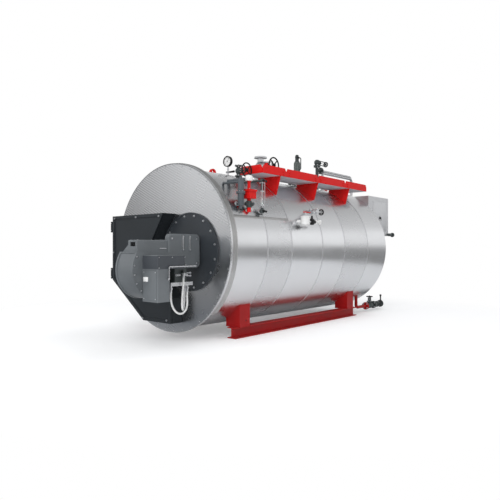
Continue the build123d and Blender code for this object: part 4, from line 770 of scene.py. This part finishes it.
# %% [markdown]
# ## Handwheels
# A handwheel is a smooth cast ring with rounded spokes and a hub. The ring is a small circle spun
# round the stem. Each wheel stands for its plain CAD wheel, in the same place, and rides on the same
# body, so that it turns with its joint. The last number in the table says how stout the rim is as a
# share of the radius: small wheels are stouter.

# %% Handwheels on the five valves
SPOKES = 4
WHEELS = (
    ("steam_valve_handwheel", "steam_valve_wheel", RIGHT, 125, 0.088),
    ("vent_valve_handwheel", "vent_valve_wheel", RIGHT, 100, 0.088),
    ("feed_valve_handwheel", "feed_valve_wheel", REAR, 50, 0.19),
    ("salinity_valve_handwheel", "salinity_valve_wheel", REAR, 46, 0.19),
    ("blowdown_handwheel", "blowdown_wheel", UP, 62, 0.12),
)


def cast_wheel(solid, body, direction, radius, stout):
    """Rim, spokes, hub and nut of one wheel."""
    low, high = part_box(solid)
    middle = (low + high) / 2
    rim, hub, deep = radius * stout, radius * (0.14 + stout), radius * (0.06 + stout)
    bm = bmesh.new()
    hoop(bm, middle, direction, radius - rim, rim, 48, 12)
    half = ((hub, deep * 0.7), (hub * 0.8, deep), (0, deep))
    profile = tuple((out, -along) for out, along in reversed(half)) + half
    turned(bm, middle, direction, profile, 24)
    for end in circle_spots(middle, direction, radius - rim, SPOKES):
        drum(bm, middle, end - middle, rim, radius - rim, rim * 0.72, 10)
    drum(bm, middle + direction * deep * 0.9 * MM, direction, radius * 0.15, radius * 0.12, sides=6)
    wheel = finished(solid + "_cast", bm, wheel_black, body)
    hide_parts(solid)


for wheel in WHEELS:
    cast_wheel(*wheel)

# %% [markdown]
# ## Pressure gauge
# The dial is a white disc in the case with a scale, a needle and a black bezel. The scale's marks are
# thin slabs turned about the dial's middle. Numbers are left away: at this size only the marks can be
# read. The pipe below has two nuts and a cock with a black handle.

# %% Dial, scale, needle and bezel
GAUGE_PIPE_Y, GAUGE_UP = 1096, 1246
GAUGE = spot(0, 1083, GAUGE_UP)
MARKS, MARK_STEP, FIRST_MARK = 31, 9, -135
bm = bmesh.new()
drum(bm, GAUGE, -REAR, 67, 2.5, sides=48)
finished("gauge_dial", bm, gauge_enamel)

bm = bmesh.new()
for number in range(MARKS):
    turn = Matrix.Rotation(radians(FIRST_MARK + MARK_STEP * number), 4, "Y")
    wide, long = (2.2, 12) if number % 5 == 0 else (1.2, 6)
    out = Matrix.Translation((0, -3.2 * MM, (60 - long / 2) * MM))
    block(bm, Matrix.Translation(GAUGE) @ turn @ out, (wide, 1.4, long), 0.2)
needle = Matrix.Translation(GAUGE) @ Matrix.Rotation(radians(28), 4, "Y")
block(bm, needle @ Matrix.Translation((0, -4.5 * MM, 18 * MM)), (3.5, 1.6, 68), 0.5)
drum(bm, GAUGE - REAR * 3 * MM, -REAR, 6, 5, sides=16)
drum(bm, spot(40, GAUGE_PIPE_Y, 1092), RIGHT, 13, 78, 16, 16)
finished("gauge_scale", bm, wheel_black)

bm = bmesh.new()
drum(bm, spot(0, GAUGE_PIPE_Y, 1166), UP, 17, 16, sides=6)
drum(bm, spot(0, GAUGE_PIPE_Y, 1126), UP, 17, 14, sides=6)
finished("gauge_nuts", bm, bright_steel)

bm = bmesh.new()
hoop(bm, spot(0, 1074, GAUGE_UP), REAR, 71, 7, 48, 10)
finished("gauge_bezel", bm, wheel_black)

# %% [markdown]
# ## Water-level fittings
# The float vessel is a slim flanged pot in dark grey, turned in one piece. The level switch has a
# white head, a lagged pipe and a shut-off under its box, and the gauge glass is held by nuts and
# guarded by rods. Black balls sit on the cock levers.

# %% Level vessel, switch head and gauge guard
VESSEL_X, VESSEL_Y, VESSEL_PIPES = 952, 296, (526, 794)
SWITCH_X, SWITCH_Y = 952, 447
GLASS_X, GLASS_Y = 967, 681
COCK_UPS = (459, 842)
VESSEL = spot(VESSEL_X, VESSEL_Y, 470)
vessel = (
    (0, 0), (18, 0), (18, 26), (30, 34), (38, 52), (38, 176), (54, 178), (54, 204), (38, 206),
    (38, 330), (30, 348), (18, 356), (18, 380), (0, 380),
)
bm = bmesh.new()
turned(bm, VESSEL, UP, vessel, 40)
for up in VESSEL_PIPES:
    side = sqrt(CASING_R ** 2 - up ** 2)
    drum(bm, spot(side - 20, VESSEL_Y, up), RIGHT, 14, VESSEL_X - side + 20, sides=16)
bottle = finished("level_vessel", bm, vessel_dark_grey)
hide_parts("level_bottle")

bm = bmesh.new()
head = ((34, 2), (44, 4), (46, 10), (46, 52), (40, 66), (24, 74), (0, 76))
turned(bm, spot(SWITCH_X, SWITCH_Y, 812), UP, head, 32)
finished("level_switch_head", bm, gauge_enamel)

bm = bmesh.new()
drum(bm, spot(586, SWITCH_Y, COCK_UPS[1]), RIGHT, 21, 332, sides=24)
for x in (596, 700, 805, 912):
    drum(bm, spot(x, SWITCH_Y, COCK_UPS[1]), RIGHT, 23, 8, sides=24)
finished("level_pipe_lagging", bm, vessel_dark_grey)

bm = bmesh.new()
for bolt in circle_spots(VESSEL + UP * 204 * MM, UP, 46, 8):
    hex_bolt(bm, bolt, UP, 9)
for x in (-56, 56):
    for y in (-58, 58):
        hex_bolt(bm, spot(SWITCH_X + x, SWITCH_Y + y, 708), UP, 12)
for up in (520, 700):
    drum(bm, spot(GLASS_X, GLASS_Y, up), UP, 24, 16, sides=6)
for y in (24, -24):
    drum(bm, spot(GLASS_X + 24, GLASS_Y + y, 500), UP, 4, 320, sides=8)
for up in (508, 812):
    hoop(bm, spot(GLASS_X, GLASS_Y, up), UP, 34, 4, 24, 8)
finished("level_nuts", bm, zinc)

bm = bmesh.new()
for up in COCK_UPS:
    ball(bm, spot(GLASS_X, 762, up), REAR, 15)
    drum(bm, spot(GLASS_X, GLASS_Y, up), RIGHT, 20, 44, 16, 16)
drum(bm, spot(930, 383, 650), -REAR, 15, 22, 12, 12)
finished("level_handles", bm, wheel_black)

bm = bmesh.new()
shutoff = ((26, 0), (34, 4), (36, 14), (36, 70), (34, 80), (26, 84))
turned(bm, spot(SWITCH_X, SWITCH_Y, 490), UP, shutoff, 24)
shutoff_middle = spot(SWITCH_X, SWITCH_Y, 532)
drum(bm, shutoff_middle, RIGHT, 22, 74, 18, 16)
drum(bm, shutoff_middle, -REAR, 24, 66, 24, 6)
drum(bm, shutoff_middle, REAR, 24, 66, 24, 6)
finished("level_shutoff", bm, valve_iron)

# %% [markdown]
# ## Side sample fittings
# The white sample pot has a lid with nuts, a red lever above it and a black cock behind it. They are
# small, but they are what the eye finds first on the bare barrel.

# %% Sample pot lid, lever and cock
SAMPLE_X, SAMPLE_Y, SAMPLE_UP = 1102, 1440, 360
bm = bmesh.new()
lid = ((0, 0), (66, 0), (68, 3), (68, 12), (64, 16), (0, 20))
turned(bm, spot(SAMPLE_X, SAMPLE_Y, 414), UP, lid, 32)
finished("sample_lid", bm, gauge_enamel)

bm = bmesh.new()
drum(bm, spot(SAMPLE_X, SAMPLE_Y, 430), UP, 12, 52, sides=12)
drum(bm, spot(SAMPLE_X, SAMPLE_Y, 448), UP, 18, 18, sides=6)
for bolt in circle_spots(spot(SAMPLE_X, SAMPLE_Y, 430), UP, 52, 6):
    hex_bolt(bm, bolt, UP, 12)
finished("sample_stem", bm, zinc)

bm = bmesh.new()
slab(bm, (SAMPLE_X - 10, 1400, 478), (SAMPLE_X + 10, 1560, 490), 5)
finished("sample_lever", bm, walkway_red)

bm = bmesh.new()
cock = ((14, 0), (36, 8), (44, 24), (44, 56), (36, 72), (14, 80))
turned(bm, spot(SAMPLE_X, 1560, SAMPLE_UP), REAR, cock, 24)
drum(bm, spot(SAMPLE_X, 1600, SAMPLE_UP), UP, 20, 84, 12, 16)
drum(bm, spot(SAMPLE_X, 1640, SAMPLE_UP), REAR, 13, 120, sides=12)
finished("sample_bar", bm, wheel_black)

# %% [markdown]
# ## Crown dressing and pipe collars
# The steam valve's bonnet has a red ring behind its wheel, and the safety valve a ribbed spring
# housing with a black lever block. Wherever a pipe comes through the cladding, a turned collar covers
# the cut edge of the sheet.

# %% Bonnet ring and collars
bm = bmesh.new()
ring = ((20, 0), (52, 0), (50, 22), (36, 40), (20, 44))
turned(bm, spot(120, STEAM_Y, 1258), RIGHT, ring, 32, closed=True)
finished("steam_bonnet_ring", bm, walkway_red)

bm = bmesh.new()
housing = ((46, 0), (56, 2), (56, 24), (51, 30), (49, 176), (53, 180), (53, 196), (40, 204))
turned(bm, spot(0, SAFETY_Y, 1257), UP, housing, 32)
for rib in circle_spots(spot(0, SAFETY_Y, 1287), UP, 51, 8):
    drum(bm, rib, UP, 5, 146, sides=8)
finished("safety_spring_housing", bm, spring_cast)

bm = bmesh.new()
slab(bm, (-18, SAFETY_Y - 22, 1520), (46, SAFETY_Y + 22, 1546), 5)
drum(bm, spot(0, SAFETY_Y - 18, 1533), -REAR, 9, 26, sides=6)
drum(bm, spot(0, SAFETY_Y, 1545), UP, 33, 20, 24, 24)
finished("safety_lever_block", bm, wheel_black)

CROWN_COLLARS = (
    (0, STEAM_Y, 50), (VENT_X, VENT_Y, 25), (0, SAFETY_Y, 38), (0, FEED_Y, 28), (110, FEED_Y, 22),
    (0, GAUGE_PIPE_Y, 12),
)
SIDE_COLLARS = (
    (VESSEL_Y, VESSEL_PIPES[0], 20), (VESSEL_Y, VESSEL_PIPES[1], 20), (SWITCH_Y, COCK_UPS[0], 18),
    (SWITCH_Y, COCK_UPS[1], 18), (GLASS_Y, COCK_UPS[0], 15), (GLASS_Y, COCK_UPS[1], 15),
    (SAMPLE_Y, SAMPLE_UP, 24), (SALINITY_Y, SALINITY_UP, 20),
)
bm = bmesh.new()
for x, y, radius in CROWN_COLLARS:
    low = sqrt(CASING_R ** 2 - x ** 2)
    lean = 0.6 * radius * x / low
    profile = (
        (radius - 2, -12 - lean), (radius + 26, -12 - lean), (radius + 26, 5),
        (radius + 5, 22 + lean), (radius - 2, 22 + lean),
    )
    turned(bm, spot(x, y, low), UP, profile, 40, closed=True)
for y, up, radius in SIDE_COLLARS:
    side = sqrt(CASING_R ** 2 - up ** 2)
    drum(bm, spot(side - 6, y, up), RIGHT, radius + 14, 18, radius + 3, 32)
finished("cladding_collars", bm, lap_metal)

# %% [markdown]
# ## Economiser panels
# The economiser is a box of sheet metal with folded corner trims, a screwed side panel on each
# side, a latch and a roof seam. Trims and panels are thin bevelled slabs set onto the box.

# %% Trims, panels, latch and screws of the economiser
TRIM, TRIM_Y = 40, 4795
BOX_BOTTOM, BOX_TOP = 238, 950
PANEL_X = 697
PANEL_Y = (4230, 4725)

bm = bmesh.new()
for x in (-692, 652):
    slab(bm, (x, TRIM_Y, BOX_BOTTOM), (x + TRIM, TRIM_Y + TRIM, BOX_TOP), 3)
for low in (BOX_TOP - TRIM, BOX_BOTTOM):
    slab(bm, (-655, TRIM_Y, low), (655, TRIM_Y + TRIM, low + TRIM), 3)
for side in (-1, 1):
    near, far = sorted((side * (PANEL_X - 9), side * PANEL_X))
    slab(bm, (near, 4210, 330), (far, 4745, 858), 4)
slab(bm, (-20, 4080, 944), (20, 4500, 953), 3)
finished("economiser_trims", bm, box_metal)

bm = bmesh.new()
for side in (-1, 1):
    for y in (PANEL_Y[0], 4390, 4560, PANEL_Y[1]):
        for up in (350, 838):
            ball(bm, spot(side * PANEL_X, y, up), RIGHT, 7, 0.5, 8, 5)
    for up in (510, 670):
        for y in PANEL_Y:
            ball(bm, spot(side * PANEL_X, y, up), RIGHT, 7, 0.5, 8, 5)
for x in (-600, -300, 300, 600):
    for y, up in ((4060, BOX_TOP - 2), (TRIM_Y + TRIM / 2, BOX_TOP)):
        ball(bm, spot(x, y, up), UP, 7, 0.5, 8, 5)
finished("economiser_screws", bm, zinc)

bm = bmesh.new()
slab(bm, (694, 4455, 548), (712, 4495, 588), 4)
drum(bm, spot(710, 4475, 568), RIGHT, 9, 12, sides=12)
slab(bm, (718, 4467, 520), (726, 4483, 580), 3)
finished("economiser_latch", bm, wheel_black)

# %% [markdown]
# ## Weld seams and the lever's knob
# The feet are welded between the beams and the barrel. A weld is a bead: a round bar laid in the
# corner. Black plugs close the lashing holes in the feet. The quick valve's lever ends in a round
# knob, which swings with it.

# %% Weld beads, plugs and knob
FOOT_X, FOOT_WIDE, FOOT_LONG, FOOT_BASE = 737, 232, 200, -1000
FOOT_YS = (516, 3200)
PLUG_BACK = 124

bm = bmesh.new()
foot_top = -sqrt(CASING_R ** 2 - FOOT_X ** 2)
for side in (1, -1):
    outer = FOOT_X * side
    inner = FOOT_X - FOOT_WIDE if side > 0 else -FOOT_X
    for y in FOOT_YS:
        drum(bm, spot(outer, y, FOOT_BASE), REAR, 6, FOOT_LONG, sides=8)
        for back in (y, y + 15):
            drum(bm, spot(inner, back, FOOT_BASE), RIGHT, 6, FOOT_WIDE, sides=8)
        drum(bm, spot(outer, y, foot_top), REAR, 7, FOOT_LONG, sides=8)
finished("foot_welds", bm, base_red)

bm = bmesh.new()
for side in (1, -1):
    for y in FOOT_YS:
        plug = spot((FOOT_X - 15) * side, y + PLUG_BACK, -925)
        drum(bm, plug, RIGHT * side, 13.4, 10, sides=24)
finished("foot_plugs", bm, wheel_black)

bm = bmesh.new()
ball(bm, spot(676.5, 4545, -873), UP, 20, 1.0, 20, 12)
finished("lever_knob", bm, wheel_black, "quick_valve_lever")

# %% [markdown]
# ## A plain studio
# The floor is a pale disc that fades to white at its edge, and the world a soft white room. Satin
# metal needs something to mirror, so the world that the metal sees is banded by height, the way a
# workshop's windows and walls are, and its front left corner is dim. The camera sees plain white
# behind everything. Each band is a height from 0 below to 1 above, and how bright it is there.

# %% Floor, world and lamps
FLOOR_R = 5.4
FADE_R = (3.6, 5.2)
FLOOR_DROP = 0.001


def studio_floor():
    """A pale round floor that keeps the shadow, fades out to white and holds a painted dark reflection."""
    bm = bmesh.new()
    bmesh.ops.create_circle(bm, cap_ends=True, segments=96, radius=FLOOR_R)
    mesh = bpy.data.meshes.new("studio_floor")
    bm.to_mesh(mesh)
    bm.free()
    floor = bpy.data.objects.new("studio_floor", mesh)
    floor.location = (0, 0, -FLOOR_DROP)
    finish = bpy.data.materials.new("studio_floor")
    finish.use_nodes = True
    tree = finish.node_tree
    shader = tree.nodes["Principled BSDF"]
    shader.inputs["Base Color"].default_value = (0.86, 0.86, 0.86, 1)
    shader.inputs["Roughness"].default_value = 0.9
    glow = node(tree, "Emission", {"Color": (1, 1, 1, 1), "Strength": 0.22})
    lit = node(tree, "AddShader", {0: shader.outputs[0], 1: glow.outputs[0]}).outputs[0]
    white = node(tree, "Emission", {"Color": (1, 1, 1, 1), "Strength": 1.0}).outputs[0]
    coords = node(tree, "TexCoord").outputs["Object"]
    away = node(tree, "VectorMath", {0: coords}, operation="LENGTH").outputs["Value"]
    edge = between(tree, away, 0.0, 1.0, *FADE_R)
    shown = node(tree, "MixShader", {0: edge, 1: lit, 2: white}).outputs[0]
    sides = node(tree, "SeparateXYZ", {"Vector": coords}).outputs
    # Painted dark reflection: in the metal's mirror image, the floor's front patch is a dark grey glow.
    front = reckon(tree, "MULTIPLY", between(tree, sides["Y"], 0.0, 1.0, -1.9, -3.0),
                   between(tree, sides["X"], 0.0, 1.0, 0.9, -0.3))
    path = node(tree, "LightPath").outputs
    dim = reckon(tree, "MULTIPLY", front, path["Is Glossy Ray"])
    dark = node(tree, "Emission", {"Color": (0.16, 0.18, 0.21, 1), "Strength": 1.0}).outputs[0]
    plain = node(tree, "MixShader", {0: dim, 1: shader.outputs[0], 2: dark}).outputs[0]
    mixed = node(tree, "MixShader", {0: path["Is Camera Ray"], 1: plain, 2: shown})
    tree.links.new(mixed.outputs[0], tree.nodes["Material Output"].inputs["Surface"])
    mesh.materials.append(finish)
    scene.collection.objects.link(floor)


WALL_BANDS = (
    (0.0, 0.20), (0.44, 0.26), (0.505, 0.30), (0.53, 0.95), (0.63, 1.0), (0.66, 0.70),
    (0.74, 0.62), (0.79, 0.38), (0.84, 0.34), (1.0, 0.52),
)


def studio_world():
    """White for the camera, soft light for paint, bands for metal."""
    world = bpy.data.worlds.new("studio")
    world.use_nodes = True
    tree = world.node_tree
    tree.nodes.clear()
    direction = node(tree, "TexCoord").outputs["Generated"]
    sides = node(tree, "SeparateXYZ", {"Vector": direction}).outputs
    bands = node(tree, "ValToRGB", {"Fac": between(tree, sides["Z"], 0.0, 1.0, -1.0, 1.0)})
    stops = bands.color_ramp.elements
    stops[0].position, stops[1].position = WALL_BANDS[0][0], WALL_BANDS[-1][0]
    for element, (_, level) in ((stops[0], WALL_BANDS[0]), (stops[1], WALL_BANDS[-1])):
        element.color = (level, level, level, 1)
    for position, level in WALL_BANDS[1:-1]:
        stops.new(position).color = (level, level, level, 1)
    corner = reckon(tree, "MULTIPLY", between(tree, sides["X"], 0.0, 0.66, -0.69, -0.85),
                    between(tree, sides["Y"], 0.0, 1.0, -0.2, -0.5))
    wall = reckon(tree, "SUBTRACT", 1.0, corner)
    soft = node(tree, "Background", {"Color": (0.95, 0.97, 1.0, 1), "Strength": 0.55}).outputs[0]
    room = node(tree, "Background", {"Color": bands.outputs["Color"], "Strength": wall}).outputs[0]
    white = node(tree, "Background", {"Color": (1, 1, 1, 1), "Strength": 1.0}).outputs[0]
    path = node(tree, "LightPath").outputs
    mirrored = node(tree, "MixShader", {0: path["Is Glossy Ray"], 1: soft, 2: room}).outputs[0]
    clear = reckon(tree, "MAXIMUM", path["Is Camera Ray"], path["Is Transmission Ray"])
    seen = node(tree, "MixShader", {0: clear, 1: mirrored, 2: white}).outputs[0]
    output = node(tree, "OutputWorld")
    tree.links.new(seen, output.inputs["Surface"])
    scene.world = world


def soft_lamp(name, place, target, size, power):
    """A large square lamp aimed at a point, kept out of the metal's mirror image."""
    data = bpy.data.lights.new(name, "AREA")
    data.size = size
    data.energy = power
    lamp = bpy.data.objects.new(name, data)
    lamp.location = place
    lamp.rotation_euler = (Vector(target) - Vector(place)).to_track_quat("-Z", "Y").to_euler()
    lamp.visible_glossy = False
    scene.collection.objects.link(lamp)


studio_floor()
studio_world()
soft_lamp("key_lamp", (5.5, -9.0, 7.5), (0, -1, 1.1), 6.0, 520.0)
soft_lamp("fill_lamp", (-7.0, -6.0, 5.0), (0, -1, 1.1), 5.0, 160.0)
soft_lamp("low_lamp", (3.0, -9.0, 1.5), (0.9, 0, 1.9), 2.5, 140.0)
soft_lamp("top_lamp", (2.0, 3.0, 9.0), (0, 0.5, 1.1), 6.0, 260.0)
print("studio ready")
